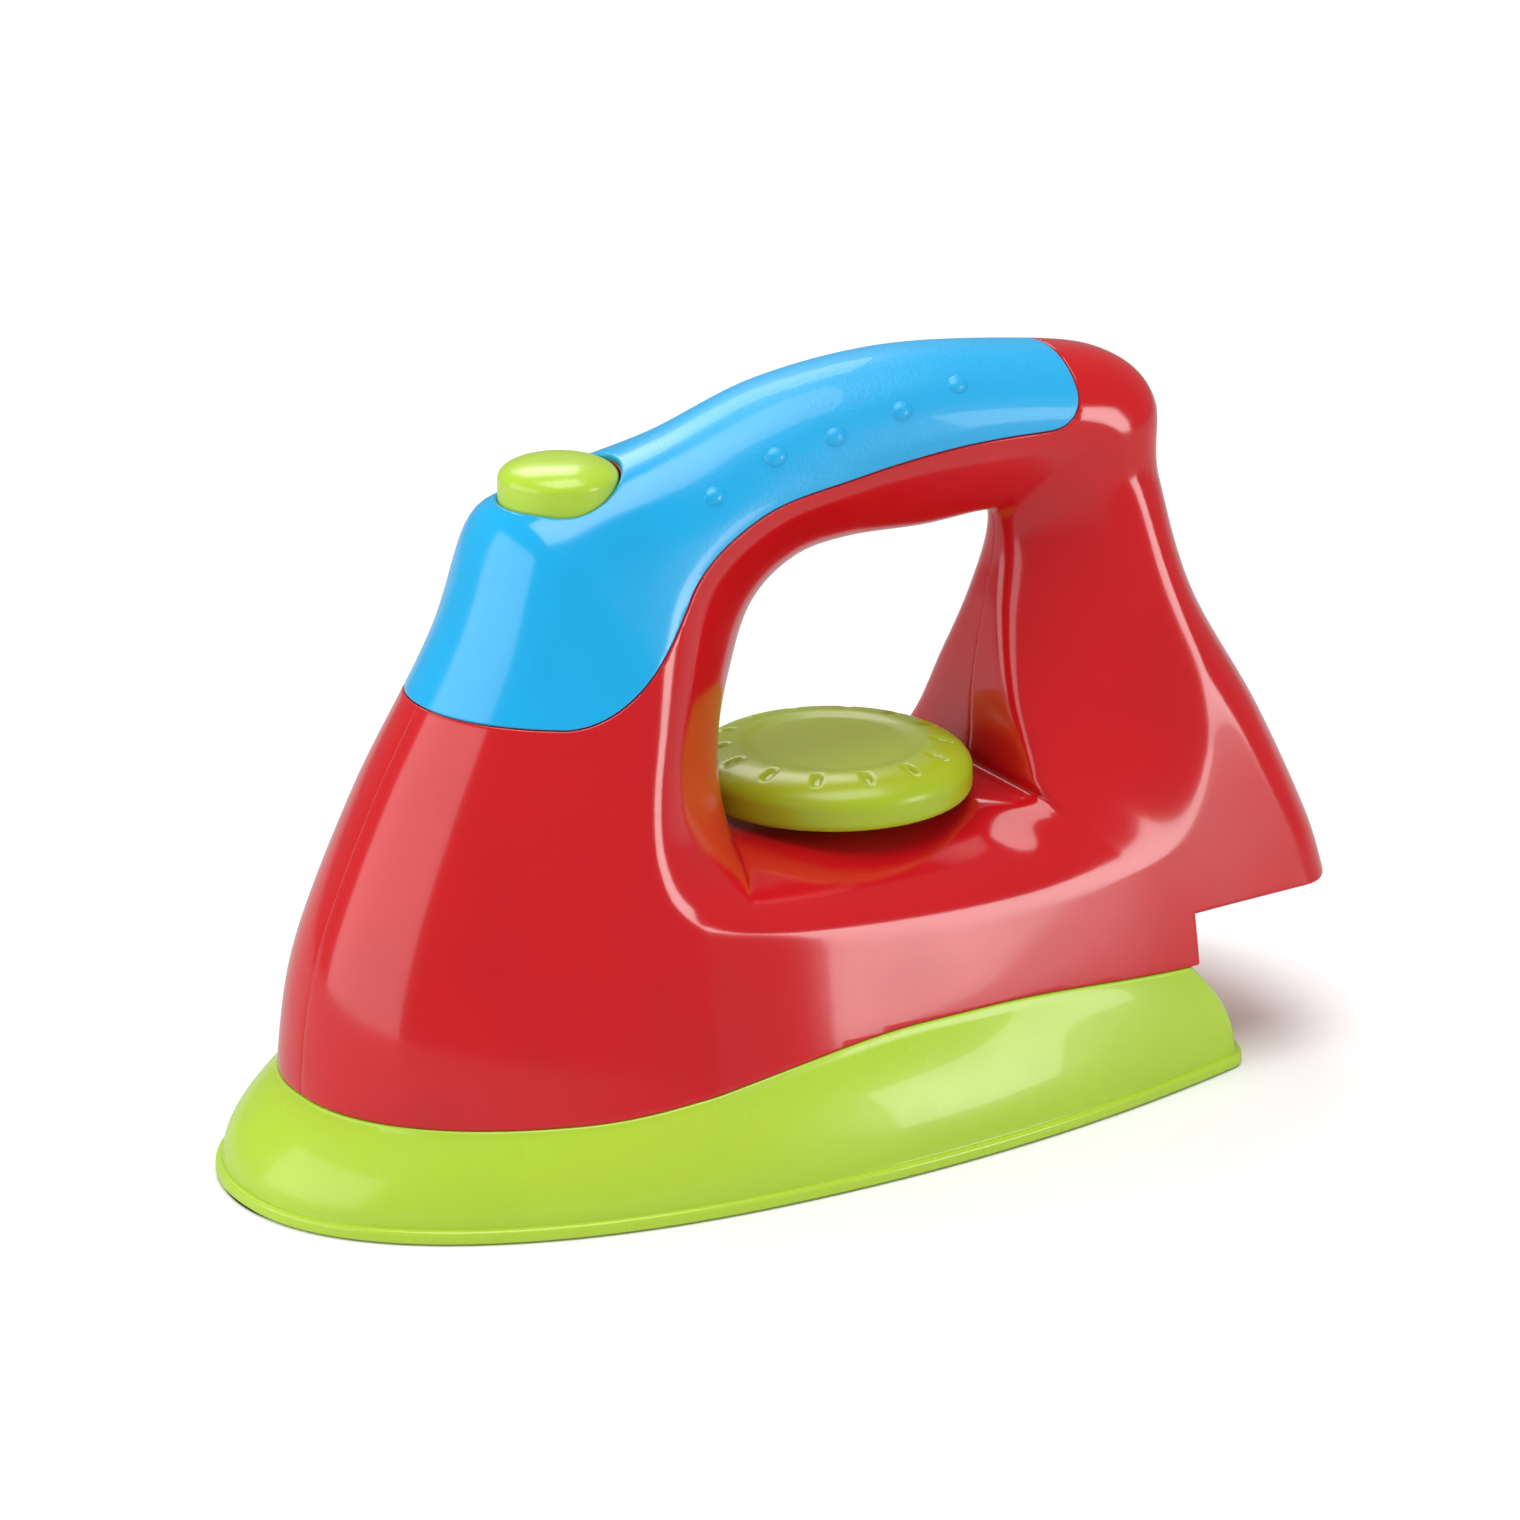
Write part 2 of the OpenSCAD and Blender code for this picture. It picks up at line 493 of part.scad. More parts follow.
module body_half(side) {
    difference() {
        union() {
            half_shell(side);
            for (i = [0:len(body_screw_shares) - 1])
                screw_boss(side, screw_place(i));
            for (i = [0:1])
                {
                    translate([sole_place(i).x, side * sole_place(i).y, column_z])
                        cylinder(r = boss_r, h = sole_boss_h);
                    rib(side, sole_place(i), column_z + wall, column_z + sole_boss_h);
                }
            shelf(side, guide_z, button_x - guide_r, button_x + button_r);
            half_tube(side, button_x, guide_z - shelf_t / 2, guide_z + guide_ring_h,
                guide_r + guide_wall + seat_fit, guide_r + seat_fit);
            intersection() {
                half_tube(side, button_x, flange_z + flange_t, body_h, collar_r, button_r + free_fit);
                solid_arc(collar_from, collar_to, 4, wall / 2);
            }
            half_tube(side, dial_x, bearing_z, deck_z - 0.8 * wall, bearing_r, dial_stem_r + run_fit);
            for (x = peg_places)
                translate([x, side * peg_y, top_at(x) - wall - peg_l])
                    cylinder(r = peg_r + guide_wall, h = peg_l);
            if (side < 0)
                translate([strip_end_x - post_l, -strip_y - post_w / 2, post_z])
                    cube([post_l, post_w, deck_z - 1.4 * wall - post_z]);
        }
        across(2 * body_w)
            polygon(concat([[-cut, -cut]],
                [for (i = [0:seam_steps]) let (x = stand_l * i / seam_steps) [x, seam_z(x) + seat_fit]],
                [[stand_l + cut, seam_z(stand_l) + seat_fit], [stand_l + cut, -cut]]));
        difference() {
            across(body_w)
                polygon(cover_region(seat_fit));
            cover_core();
        }
        translate([button_x, 0, flange_z + flange_t])
            cylinder(r = button_r + free_fit, h = body_h);
        translate([button_x, 0, guide_z - shelf_t - cut])
            cylinder(r = button_stem_r + free_fit, h = shelf_t + 2 * cut);
        translate([dial_x, 0, bearing_z - cut])
            cylinder(r = dial_stem_r + run_fit, h = deck_z - bearing_z + 2 * cut);
        for (x = peg_places)
            translate([x, side * peg_y, top_at(x) - wall - peg_l - cut])
                cylinder(r = peg_r + seat_fit, h = peg_l + wall + 2 * cut);
        for (i = [0:1])
            translate([sole_place(i).x, side * sole_place(i).y, column_z - cut])
                cylinder(r = screw_r + seat_fit / 2, h = screw_l + sole_seat_z - column_z + 2 * cut);
        for (i = [0:len(body_screw_shares) - 1])
            if (side > 0) {
                bar(screw_place(i), -cut, screw_seat + cut, screw_r + free_fit);
                bar(screw_place(i), screw_seat, body_w, head_r + free_fit);
            } else
                bar(screw_place(i), screw_seat - screw_l - cut / 2, cut, screw_r + seat_fit / 2);
        if (side < 0)
            translate([strip_end_x - post_l - cut, -strip_y - strip_t / 2 - seat_fit / 2, post_z - cut])
                cube([post_l + cut + seat_fit, strip_t + seat_fit, click_t + post_lip + cut]);
    }
}

module body_left() {
    color("#d2161e")
        body_half(-1);
}

module body_right() {
    color("#d2161e")
        body_half(1);
}

// Grip dot on a flank of the cover, as a low cap of a ball that lies along the surface
module grip_dot(side, p) {
    fall = [for (d = [[dot_r, 0], [0, dot_r]]) (half_at(p - d) - half_at(p + d)) / (2 * dot_r)];
    out = unit([fall.x, 1, fall.y]);
    ball_r = (dot_r * dot_r + dot_h * dot_h) / (2 * dot_h);
    middle = [p.x, half_at(p), p.y] + (dot_h - ball_r) * out;
    translate([middle.x, side * middle.y, middle.z])
        sphere(r = ball_r);
}

module handle_cover() {
    color("#33b5f0") {
        difference() {
            union() {
                intersection() {
                    solid_arc(past_from, past_to, arc_steps, 0);
                    across(body_w)
                        polygon(cover_region(0));
                }
                for (share = dot_shares, side = [-1, 1])
                    grip_dot(side, dot_place(share));
            }
            cover_core();
            translate([button_x, 0, flange_z])
                cylinder(r = button_r + free_fit, h = body_h);
        }
        for (x = peg_places, side = [-1, 1])
            translate([x, side * peg_y, top_at(x) - wall - peg_l + cover_t])
                cylinder(r = peg_r, h = peg_l + wall - 2.6 * cover_t);
    }
}

// Share of the sole's length at which it is widest, and share of its width lost at the rear
widest_share = 0.48;
taper_share = 0.34;
// Outline of the sole: half width at a share of its length
function sole_half(s) = sole_w / 2 * (round_in(min(1, s / widest_share))
    - taper_share * pow(max(0, s - widest_share) / (1 - widest_share), 2))
    * pow(1 - pow(max(0, 1 - (1 - s) * sole_l / sole_corner), 3), 1 / 3);
// Share of the seam over which the ledge grows to its width
ledge_share = 0.05;
// Outline of the skirt's upper edge, round the body at the seam
function ledge_point(s) = let (x = nose_x - seam_ledge + (stand_l - nose_x + 2 * seam_ledge) * s,
    q = max(nose_x, min(stand_l, x)), run = (stand_l + seam_ledge - x) / (sole_corner / 2))
    [x, (half_at([q, seam_z(q)]) + seam_ledge * smooth_step(s / ledge_share))
        * pow(1 - pow(max(0, 1 - run), 3), 1 / 3)];
skirt_steps = 34;
skirt_shares = [for (i = [0:skirt_steps]) (1 - cos(180 * i / skirt_steps)) / 2];
function both_sides(p) = concat(p, [for (i = [len(p) - 2:-1:1]) [p[i].x, -p[i].y]]);
sole_line = both_sides([for (s = skirt_shares) [s * sole_l, sole_half(s)]]);
ledge_line = both_sides([for (s = skirt_shares) ledge_point(s)]);
// Outward direction of a closed line at one of its points
function out_at(line, i) = let (n = len(line), u = unit(line[(i + 1) % n] - line[(i + n - 1) % n]))
    [-u.y, u.x];
function raised(p, z) = [p.x, p.y, z];
// Bulge of the flank between the lip and the seam, at a share of the height
bulge_angle = 78;
function bulge(s) = (1 - cos(bulge_angle * s)) / (1 - cos(bulge_angle));
function skirt_row(i) = let (a = sole_line[i], b = ledge_line[i], na = out_at(sole_line, i),
    nb = out_at(ledge_line, i), low = a - lip_step * na, z0 = lip_h + 0.3 * lip_step, z1 = seam_z(b.x),
    low_in = low - skirt_wall * na, top_in = b - skirt_wall * nb) concat(
    [raised(a, 0), raised(a, lip_h)],
    [for (s = [0, 0.25, 0.5, 0.75, 1]) raised(low + (b - low) * bulge(s), z0 + (z1 - z0) * s)],
    [for (s = [1, 0.5]) raised(low_in + (top_in - low_in) * bulge(s), z0 + (z1 - z0) * s)],
    [raised(low_in, floor_t)]);

module skirt() {
    rows = [for (i = [0:len(sole_line) - 1]) skirt_row(i)];
    m = len(rows[0]);
    n = len(rows);
    sides = [for (i = [0:n - 1], j = [0:m - 2], k = [0, 1]) let (a = i * m + j, d = (i + 1) % n * m + j)
        k == 0 ? [a, d + 1, a + 1] : [a, d, d + 1]];
    polyhedron(points = [for (r = rows) each r], faces = concat(sides,
        [[for (i = [n - 1:-1:0]) i * m]], [[for (i = [0:n - 1]) i * m + m - 1]]), convexity = 6);
}

module sole_base() {
    color("#b5d92e")
        difference() {
            union() {
                skirt();
                for (i = [0:1], side = [-1, 1])
                    translate([sole_place(i).x, side * sole_place(i).y, floor_t / 2])
                        cylinder(r = boss_r, h = column_z - floor_t / 2);
            }
            for (i = [0:1], side = [-1, 1])
                translate([sole_place(i).x, side * sole_place(i).y, -cut]) {
                    cylinder(r = screw_r + free_fit, h = body_h);
                    cylinder(r = head_r + free_fit, h = sole_seat_z + cut);
                }
        }
}

module spray_button() {
    crown = 0.34 * button_r;
    stem_z = guide_z - shelf_t - stem_past;
    edge = button_top_z - crown;
    dome = [for (a = [0:15:90]) [button_r * cos(a), edge + crown * sin(a)]];
    hollow = button_r - button_wall;
    color("#b5d92e")
        translate([button_x, 0, 0])
            rotate_extrude()
                polygon(concat([[0, stem_z], [button_stem_r, stem_z], [button_stem_r, edge - button_wall],
                    [hollow, edge - button_wall], [hollow, flange_z], [flange_r, flange_z],
                    [flange_r, flange_z + flange_t], [button_r, flange_z + flange_t]], dome));
}

module button_guide() {
    color("white")
        translate([button_x, 0, guide_z])
            rotate_extrude()
                polygon([[button_stem_r + free_fit, 0], [guide_r, 0], [guide_r, guide_h],
                    [guide_r - guide_wall, guide_h], [guide_r - guide_wall, guide_floor],
                    [button_stem_r + free_fit + guide_wall, guide_floor],
                    [button_stem_r + free_fit + guide_wall, guide_h / 2],
                    [button_stem_r + free_fit, guide_h / 2]]);
}

// Coil of the spring as one tube
module button_spring() {
    rings = 8 * spring_turns;
    rows = [for (i = [0:rings]) let (t = i / rings, a = 360 * spring_turns * t)
        [for (k = [0:5]) let (r = coil_r + wire_d / 2 * cos(60 * k))
            [button_x + r * cos(a), r * sin(a), spring_z(t) + wire_d / 2 * sin(60 * k)]]];
    points = [for (r = rows) each r];
    color("silver")
        polyhedron(points = points, faces = concat(strip_faces(points, len(rows), 6, false, false),
            [[5, 4, 3, 2, 1, 0]], [[for (k = [0:5]) 6 * rings + k]]), convexity = 10);
}
function spring_z(t) = spring_low + wire_d / 2 + (flange_z - spring_low - wire_d) * t;

module dial_knob() {
    r = dial_d / 2;
    top_z = dial_z + dial_h;
    skin = dial_wall;
    flat_r = r - shoulder_w;
    rim_top_z = top_z - shoulder_drop;
    inside = [for (a = [90:-30:0]) [flat_r + (shoulder_w - skin) * cos(a),
        rim_top_z + (shoulder_drop - dial_dish - skin) * sin(a)]];
    shoulder = [for (a = [0:15:90]) [flat_r + shoulder_w * cos(a), rim_top_z + shoulder_drop * sin(a)]];
    notch_share = 0.62;
    turn = acos(1 - notch_share);
    color("#b5d92e")
        translate([dial_x, 0, 0])
            difference() {
                union() {
                    rotate_extrude()
                        polygon(concat([[0, top_z - dial_dish - skin]], inside,
                            [[r - skin, dial_z], [r - skin / 3, dial_z], [r, dial_z + skin / 3]], shoulder,
                            [[flat_r - dial_dish, top_z - dial_dish], [0, top_z - dial_dish]]));
                    translate([0, 0, click_z + click_t])
                        cylinder(r = dial_stem_r, h = top_z - dial_dish - skin / 2 - click_z - click_t);
                    translate([0, 0, deck_z + seat_fit])
                        cylinder(r = dial_stem_r + skin, h = dial_h / 2);
                    translate([-drive_w / 2, -drive_w / 2, click_z + seat_fit])
                        cube([drive_w, drive_w, click_t]);
                }
                translate([0, 0, click_z - cut])
                    cylinder(r = screw_r + seat_fit / 2, h = screw_l + cut);
                for (i = [0:notch_count - 1])
                    rotate([0, 0, 360 * i / notch_count])
                        translate([flat_r + shoulder_w * cos(turn), 0,
                            rim_top_z + shoulder_drop * sin(turn)])
                            rotate([0, atan2(shoulder_drop * cos(turn), shoulder_w * sin(turn)), 0])
                                translate([-notch_l / 2, -notch_w / 2, -notch_depth])
                                    cube([notch_l, notch_w, notch_depth + cut]);
            }
}

module click_wheel() {
    steps = 6 * click_count;
    color("white")
        translate([dial_x, 0, click_z])
            difference() {
                linear_extrude(click_t)
                    polygon([for (i = [0:steps - 1]) let (a = 360 * i / steps,
                        r = click_r - click_depth * (1 + cos(click_count * a)) / 2)
                        [r * sin(a), -r * cos(a)]]);
                translate([-drive_w / 2 - seat_fit / 2, -drive_w / 2 - seat_fit / 2, -cut])
                    cube([drive_w + seat_fit, drive_w + seat_fit, click_t + 2 * cut]);
            }
}

module click_spring() {
    tip_y = click_r - click_depth + free_fit;
    w = strip_t / 2;
    nose_l = 5.2 * strip_t;
    color("silver")
        translate([0, 0, click_z])
            linear_extrude(click_t)
                polygon([[strip_end_x, w - strip_y], [dial_x + nose_l, w - strip_y], [dial_x, -tip_y],
                    [dial_x - nose_l, w - strip_y], [dial_x - nose_l, -w - strip_y],
                    [dial_x, -tip_y - 2 * strip_t], [dial_x + nose_l, -w - strip_y],
                    [strip_end_x, -w - strip_y]]);
}

module dial_washer() {
    color("silver")
        translate([dial_x, 0, click_z - washer_t])
            difference() {
                cylinder(r = drive_w, h = washer_t);
                translate([0, 0, -cut])
                    cylinder(r = screw_r + seat_fit, h = washer_t + 2 * cut);
            }
}

// Pan-head screw along +Z with the seat of its head at z = 0 and a cross recess
module screw() {
    difference() {
        union() {
            cylinder(r = screw_r, h = screw_l - screw_r);
            translate([0, 0, screw_l - screw_r])
                cylinder(r1 = screw_r, r2 = 0.3 * screw_r, h = screw_r);
            rotate_extrude()
                polygon([[0, 0], [head_r, 0], [head_r, -0.5 * head_h], [0.7 * head_r, -0.9 * head_h],
                    [0.4 * head_r, -head_h], [0, -head_h]]);
        }
        for (a = [0, 90])
            rotate([0, 0, a])
                translate([-0.55 * head_r, -0.12 * head_r, -head_h - cut])
                    cube([1.1 * head_r, 0.24 * head_r, cut + 0.5 * head_h]);
    }
}

module dial_screw() {
    color("silver")
        translate([dial_x, 0, click_z - washer_t])
            screw();
}

module body_screw(i) {
    color("silver")
        translate([screw_place(i).x, screw_seat, screw_place(i).y])
            rotate([90, 0, 0])
                screw();
}

module sole_screw(i, side) {
    color("silver")
        translate([sole_place(i).x, side * sole_place(i).y, sole_seat_z])
            screw();
}

at_origin() body_left();
at_origin() body_right();
at_origin() handle_cover();
at_origin() sole_base();
at_origin() spray_button();
at_origin() button_spring();
at_origin() button_guide();
at_origin() dial_knob();
at_origin() click_wheel();
at_origin() click_spring();
at_origin() dial_washer();
at_origin() dial_screw();
for (i = [1:6])
    at_origin() body_screw(i - 1);
for (i = [0, 1], k = [0, 1])
    at_origin() sole_screw(i, 2 * k - 1);
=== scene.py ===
"""Toy iron in moulded plastic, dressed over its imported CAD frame."""

from __future__ import annotations

import logging
import math
from dataclasses import dataclass
from enum import Enum
from typing import Callable, Optional, Sequence, Union

import bmesh
import bpy
import numpy as np
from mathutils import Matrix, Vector


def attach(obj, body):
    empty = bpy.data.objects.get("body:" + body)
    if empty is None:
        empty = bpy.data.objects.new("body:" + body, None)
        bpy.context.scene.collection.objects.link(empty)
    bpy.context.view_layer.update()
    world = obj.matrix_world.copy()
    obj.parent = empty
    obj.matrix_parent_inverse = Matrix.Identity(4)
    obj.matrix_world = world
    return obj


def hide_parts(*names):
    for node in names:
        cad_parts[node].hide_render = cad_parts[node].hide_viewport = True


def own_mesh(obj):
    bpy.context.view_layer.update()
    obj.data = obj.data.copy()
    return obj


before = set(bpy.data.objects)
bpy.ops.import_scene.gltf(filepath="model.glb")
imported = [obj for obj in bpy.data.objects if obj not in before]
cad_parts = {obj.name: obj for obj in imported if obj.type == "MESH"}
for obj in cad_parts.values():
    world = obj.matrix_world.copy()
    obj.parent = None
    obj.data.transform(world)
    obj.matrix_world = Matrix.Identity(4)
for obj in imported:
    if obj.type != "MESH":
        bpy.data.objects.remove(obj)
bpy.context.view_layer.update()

LOG = logging.getLogger("toy_iron")
MM = 0.001
# Distance given to a point that a hole doesn't reach, in millimetres
FAR = 199.5
# Points whose distance to a line is worked out at once
AT_ONCE = 4000
# Seam between the cover and the body, and rounding of a screw hole's mouth
COVER_GAP = 0.07
MOUTH_ROUND = 0.35
# Radius of a turned form's last ring, which stands for its axis
AXIS_R = 0.02
# Powers of the rounded shoulder from an edge inwards
SWELL_RUN = 2.3
SWELL_RISE = 2.2
Array = np.ndarray
Measure = Callable[[Array], Array]
Faces = list[list[int]]
Form = tuple[Array, Faces]
Pair = tuple[float, float]
Triple = tuple[float, float, float]
Source = Union[bpy.types.NodeSocket, float, tuple[float, ...]]
Values = dict[Union[str, int], Source]


class Flank(Enum):
    """Side of the iron, as the sign of Y."""

    LEFT = -1
    RIGHT = 1


class Slot(Enum):
    """Material slots of the record; new pieces are handed one but don't set it."""

    RED = "red_plastic"
    BLUE = "blue_plastic"
    LIME = "lime_plastic"
    STEEL = "steel"


def smooth_curve(points: Array, count: int, closed: bool) -> Array:
    """Run a smooth curve through points.

    Args:
        points: Corner points, one row each.
        count: Steps between each two points.
        closed: Whether the last point joins the first.

    Returns:
        The curve's points, one row each.
    """
    n = len(points)
    t = (np.arange(count) / count)[:, None]
    spans = []
    for i in range(n if closed else n - 1):
        pick = [(i + k) % n if closed else min(max(i + k, 0), n - 1) for k in (-1, 0, 1, 2)]
        a, b, c, d = (points[k] for k in pick)
        spans.append((2 * b + (c - a) * t + (2 * a - 5 * b + 4 * c - d) * t**2
                      + (3 * b - a - 3 * c + d) * t**3) / 2)
    if not closed:
        spans.append(points[-1:])
    return np.concatenate(spans)


def smooth_step(t: Array) -> Array:
    """Ease from 0 to 1."""
    u = np.clip(t, 0.0, 1.0)
    return u * u * (3 - 2 * u)


def passed(share: Array, start_and_run: Pair) -> Array:
    """Ease from 0 to 1 over a run that begins at a start."""
    start, run = start_and_run
    return smooth_step((share - start) / run)


def swell(t: Array) -> Array:
    """Rise from 0 to 1 as a full, rounded shoulder."""
    return (1 - (1 - t) ** SWELL_RUN) ** (1 / SWELL_RISE)


def around_axis(sides: int) -> Array:
    """Directions of a whole turn, one row each."""
    turn = np.arange(sides) / sides * 2 * math.pi
    return np.stack([np.cos(turn), np.sin(turn)], 1)


def gap_to_line(points: Array, line: Array, closed: bool) -> Array:
    """Measure the least distance from each point to a polyline.

    Args:
        points: Places, one row each.
        line: Corners of the polyline, one row each.
        closed: Whether the last corner joins the first.

    Returns:
        One distance for each point.
    """
    start = line if closed else line[:-1]
    end = np.roll(line, -1, axis=0) if closed else line[1:]
    span = end - start
    length = np.maximum((span**2).sum(1), 1e-12)
    least = np.empty(len(points))
    for low in range(0, len(points), AT_ONCE):
        part = points[low:low + AT_ONCE, None, :]
        t = np.clip(((part - start) * span).sum(2) / length, 0, 1)
        away = ((part - start - t[..., None] * span) ** 2).sum(2)
        least[low:low + AT_ONCE] = np.sqrt(away.min(1))
    return least


def inside_line(points: Array, line: Array) -> Array:
    """Tell which points lie inside a closed polyline."""
    after = np.roll(line, -1, axis=0)
    found = np.zeros(len(points), bool)
    for a, b in zip(line, after):
        if a[1] == b[1]:
            continue
        crosses = (a[1] > points[:, 1]) != (b[1] > points[:, 1])
        at = a[0] + (points[:, 1] - a[1]) * (b[0] - a[0]) / (b[1] - a[1])
        found ^= crosses & (points[:, 0] < at)
    return found


class ShareTable:
    """A table of shares, read with its corners smoothed out."""

    SAMPLES = 1200

    def __init__(self, rows: Sequence[Pair], ease: float) -> None:
        """Sample the table once.

        Args:
            rows: Pairs of place and value.
            ease: Length over which a corner is smoothed.
        """
        xs, ys = np.array(rows).T
        self.grid = np.linspace(xs[0] - 2 * ease, xs[-1] + 2 * ease, self.SAMPLES)
        step = self.grid[1] - self.grid[0]
        half = max(int(ease / step), 1)
        window = np.hanning(2 * half + 1)
        raw = np.interp(np.arange(-half, len(self.grid) + half) * step + self.grid[0], xs, ys)
        self.values = np.convolve(raw, window / window.sum(), mode="valid")

    def at(self, place: Array) -> Array:
        """Read the table at the given places."""
        return np.interp(place, self.grid, self.values)


@dataclass(frozen=True)
class BodySizes:
    """Sizes of the moulded body, in millimetres."""

    sole_l: float = 178.0
    sole_w: float = 92.0
    sole_corner: float = 7.0
    lip_h: float = 2.2
    lip_step: float = 1.2
    floor_t: float = 2.4
    heel_overhang: float = 21.5
    body_h: float = 125.5
    body_w: float = 77.0
    stand_l: float = 165.0
    heel_z: float = 28.0
    seam_nose_z: float = 16.5
    seam_crest_z: float = 22.3
    seam_rear_z: float = 19.5
    seam_ledge: float = 0.8
    window_x: float = 86.0
    window_l: float = 57.0
    deck_z: float = 50.0
    window_h: float = 45.5
    rim_x: float = 63.5
    rim_l: float = 104.0
    rim_z: float = 40.5
    rim_h: float = 70.0
    rim_round: float = 2.4
    cover_t: float = 1.1
    cover_end_x: float = 152.0
    cover_end_round: float = 6.0
    cover_low_z: float = 78.0
    cover_sweep: float = 24.0
    cover_rim: float = 1.0
    button_x: float = 60.0
    button_r: float = 9.8
    button_proud: float = 3.6
    dial_x: float = 111.5
    dial_d: float = 47.0
    dial_h: float = 8.0
    dial_lift: float = 1.5
    dial_stem_r: float = 5.0
    screw_seat: float = 5.0
    screw_r: float = 1.4
    head_r: float = 2.8
    free_fit: float = 0.3
    seat_fit: float = 0.1

    @property
    def reach(self) -> float:
        """Whole length from the sole's tip to the heel."""
        return self.sole_l + self.heel_overhang

    @property
    def half_w(self) -> float:
        """Half the width of the body."""
        return self.body_w / 2

    @property
    def hole_r(self) -> float:
        """Radius of the hole round a screw's head."""
        return self.head_r + self.free_fit

    @property
    def shaft_r(self) -> float:
        """Radius of the hole round a screw's shaft."""
        return self.screw_r + self.free_fit


class SideView:
    """Outlines of the iron in side view, and its half width at each place of it."""

    NOSE = 0.058
    CENTRE = (0.53, 0.48)
    FLARE_EASE = 0.12
    FLARE_SOFT = 0.3
    LEAST_WIDTH = 0.36
    CURVE_STEPS = 16
    NOSE_TO_REAR = (0.31, 0.11)
    SEAM_RISE = (0.22, 0.32)
    SEAM_FALL = (0.60, 0.26)
    COVER_ANGLES = (56, 152.5, 1.5)
    SWEEP_STEPS = 30
    BEYOND_NOSE = 6
    BEYOND_TOP = 20
    NOSE_LIFT = 0.026
    OUTLINE = ((NOSE, 0.048), (NOSE, 0.175), (0.075, 0.319), (0.130, 0.518), (0.198, 0.709),
               (0.236, 0.857), (0.291, 0.896), (0.401, 0.936), (0.501, 0.984), (0.617, 1.0),
               (0.742, 0.980), (0.822, 0.951), (0.860, 0.892), (0.862, 0.789), (0.885, 0.637),
               (0.942, 0.470), (0.985, 0.319), (1.0, 0.235), (1.0, 0.223))
    WAIST = ((0, 0.066), (0.009, 0.33), (0.07, 0.593), (0.158, 0.824), (0.298, 0.952),
             (0.474, 0.989), (0.737, 0.980), (0.921, 0.993), (0.991, 0.978), (1, 0.835),
             (0.965, 0.615), (0.930, 0.352), (0.921, 0.088), (0.877, 0.011), (0.456, 0),
             (0.044, 0.007))
    RIM = ((0.005, 0.207), (0.010, 0.364), (0.053, 0.564), (0.120, 0.793), (0.255, 0.919),
           (0.428, 0.964), (0.639, 0.997), (0.822, 0.986), (0.899, 0.907), (0.947, 0.664),
           (0.995, 0.393), (0.995, 0.193), (0.909, 0.029), (0.688, 0), (0.399, 0.014),
           (0.159, 0.050), (0.043, 0.100))

    def __init__(self, sizes: BodySizes) -> None:
        """Lay the outlines out in millimetres from the sole's tip."""
        s = self.sizes = sizes
        self.flank = ShareTable(((0.05, 1.07), (0.16, 1), (0.33, 0.87), (0.50, 0.745), (0.64, 0.60),
                                 (0.80, 0.44), (0.88, 0.36), (1.05, 0.36)), 0.07)
        self.plan = ShareTable(((0.0, 1), (0.43, 1), (0.61, 0.94), (0.76, 0.87), (0.83, 0.82),
                                (1, 0.74)), 0.06)
        self.nose_round = ShareTable(((0.0, 0.33), (0.16, 0.33), (0.48, 0.23), (0.64, 0.165),
                                      (0.80, 0.08), (0.89, 0.05), (1.05, 0.05)), 0.06)
        self.rear_round = ShareTable(((0.0, 0.055), (0.76, 0.055), (0.89, 0.075),
                                      (1.05, 0.075)), 0.05)
        self.flare_power = ShareTable(((-90, 2.4), (-60, 2.4), (-45, 1.6), (-20, 1.6), (25, 1.3),
                                       (180, 1.3), (215, 2.4), (300, 2.4), (315, 1.6)), 14)
        self.flare_hold = ShareTable(((-90, 0), (-66, 0), (-46, 0.76), (-34, 0.60), (-22, 0.50),
                                      (4, 0.33), (42, 0), (294, 0), (314, 0.76)), 13)

        def curve(shares: Sequence[Pair], size: Pair, corner: Pair, closed: bool) -> Array:
            """Scale a line of shares and smooth it."""
            return smooth_curve(np.array(shares) * size + corner, self.CURVE_STEPS, closed)

        self.outline = curve(self.OUTLINE, (s.reach, s.body_h), (0, 0), False)
        self.waist = curve(self.WAIST, (s.window_l, s.window_h), (s.window_x, s.deck_z), True)
        self.rim = curve(self.RIM, (s.rim_l, s.rim_h), (s.rim_x, s.rim_z), True)
        keel = self.OUTLINE[0][1] * s.body_h
        self.under = np.array([[s.stand_l, s.heel_z], [s.stand_l, keel]])
        self.outer = np.concatenate([self.outline, self.under])
        across, up = self.CENTRE
        self.centre = np.array([s.window_x + across * s.window_l, s.deck_z + up * s.window_h])
        self.cover_line = self._cover_line()

    def ray(self, loop: Array, angles: Array) -> Array:
        """Find the distance from the window's centre to a closed line, along each angle."""
        a = loop - self.centre
        b = np.roll(loop, -1, axis=0) - self.centre
        reach = np.empty(len(angles))
        for i, angle in enumerate(np.radians(angles)):
            d = np.array([math.cos(angle), math.sin(angle)])
            ca = d[0] * a[:, 1] - d[1] * a[:, 0]
            cb = d[0] * b[:, 1] - d[1] * b[:, 0]
            hit = (ca * cb <= 1e-12) & (np.abs(ca - cb) > 1e-12)
            s = ca[hit] / (ca[hit] - cb[hit])
            r = (a[hit] + s[:, None] * (b[hit] - a[hit])) @ d
            reach[i] = r.max()
        return reach

    def angle_to(self, point: Array) -> float:
        """Angle from the window's centre to a point, in degrees."""
        return math.degrees(math.atan2(point[1] - self.centre[1], point[0] - self.centre[0]))

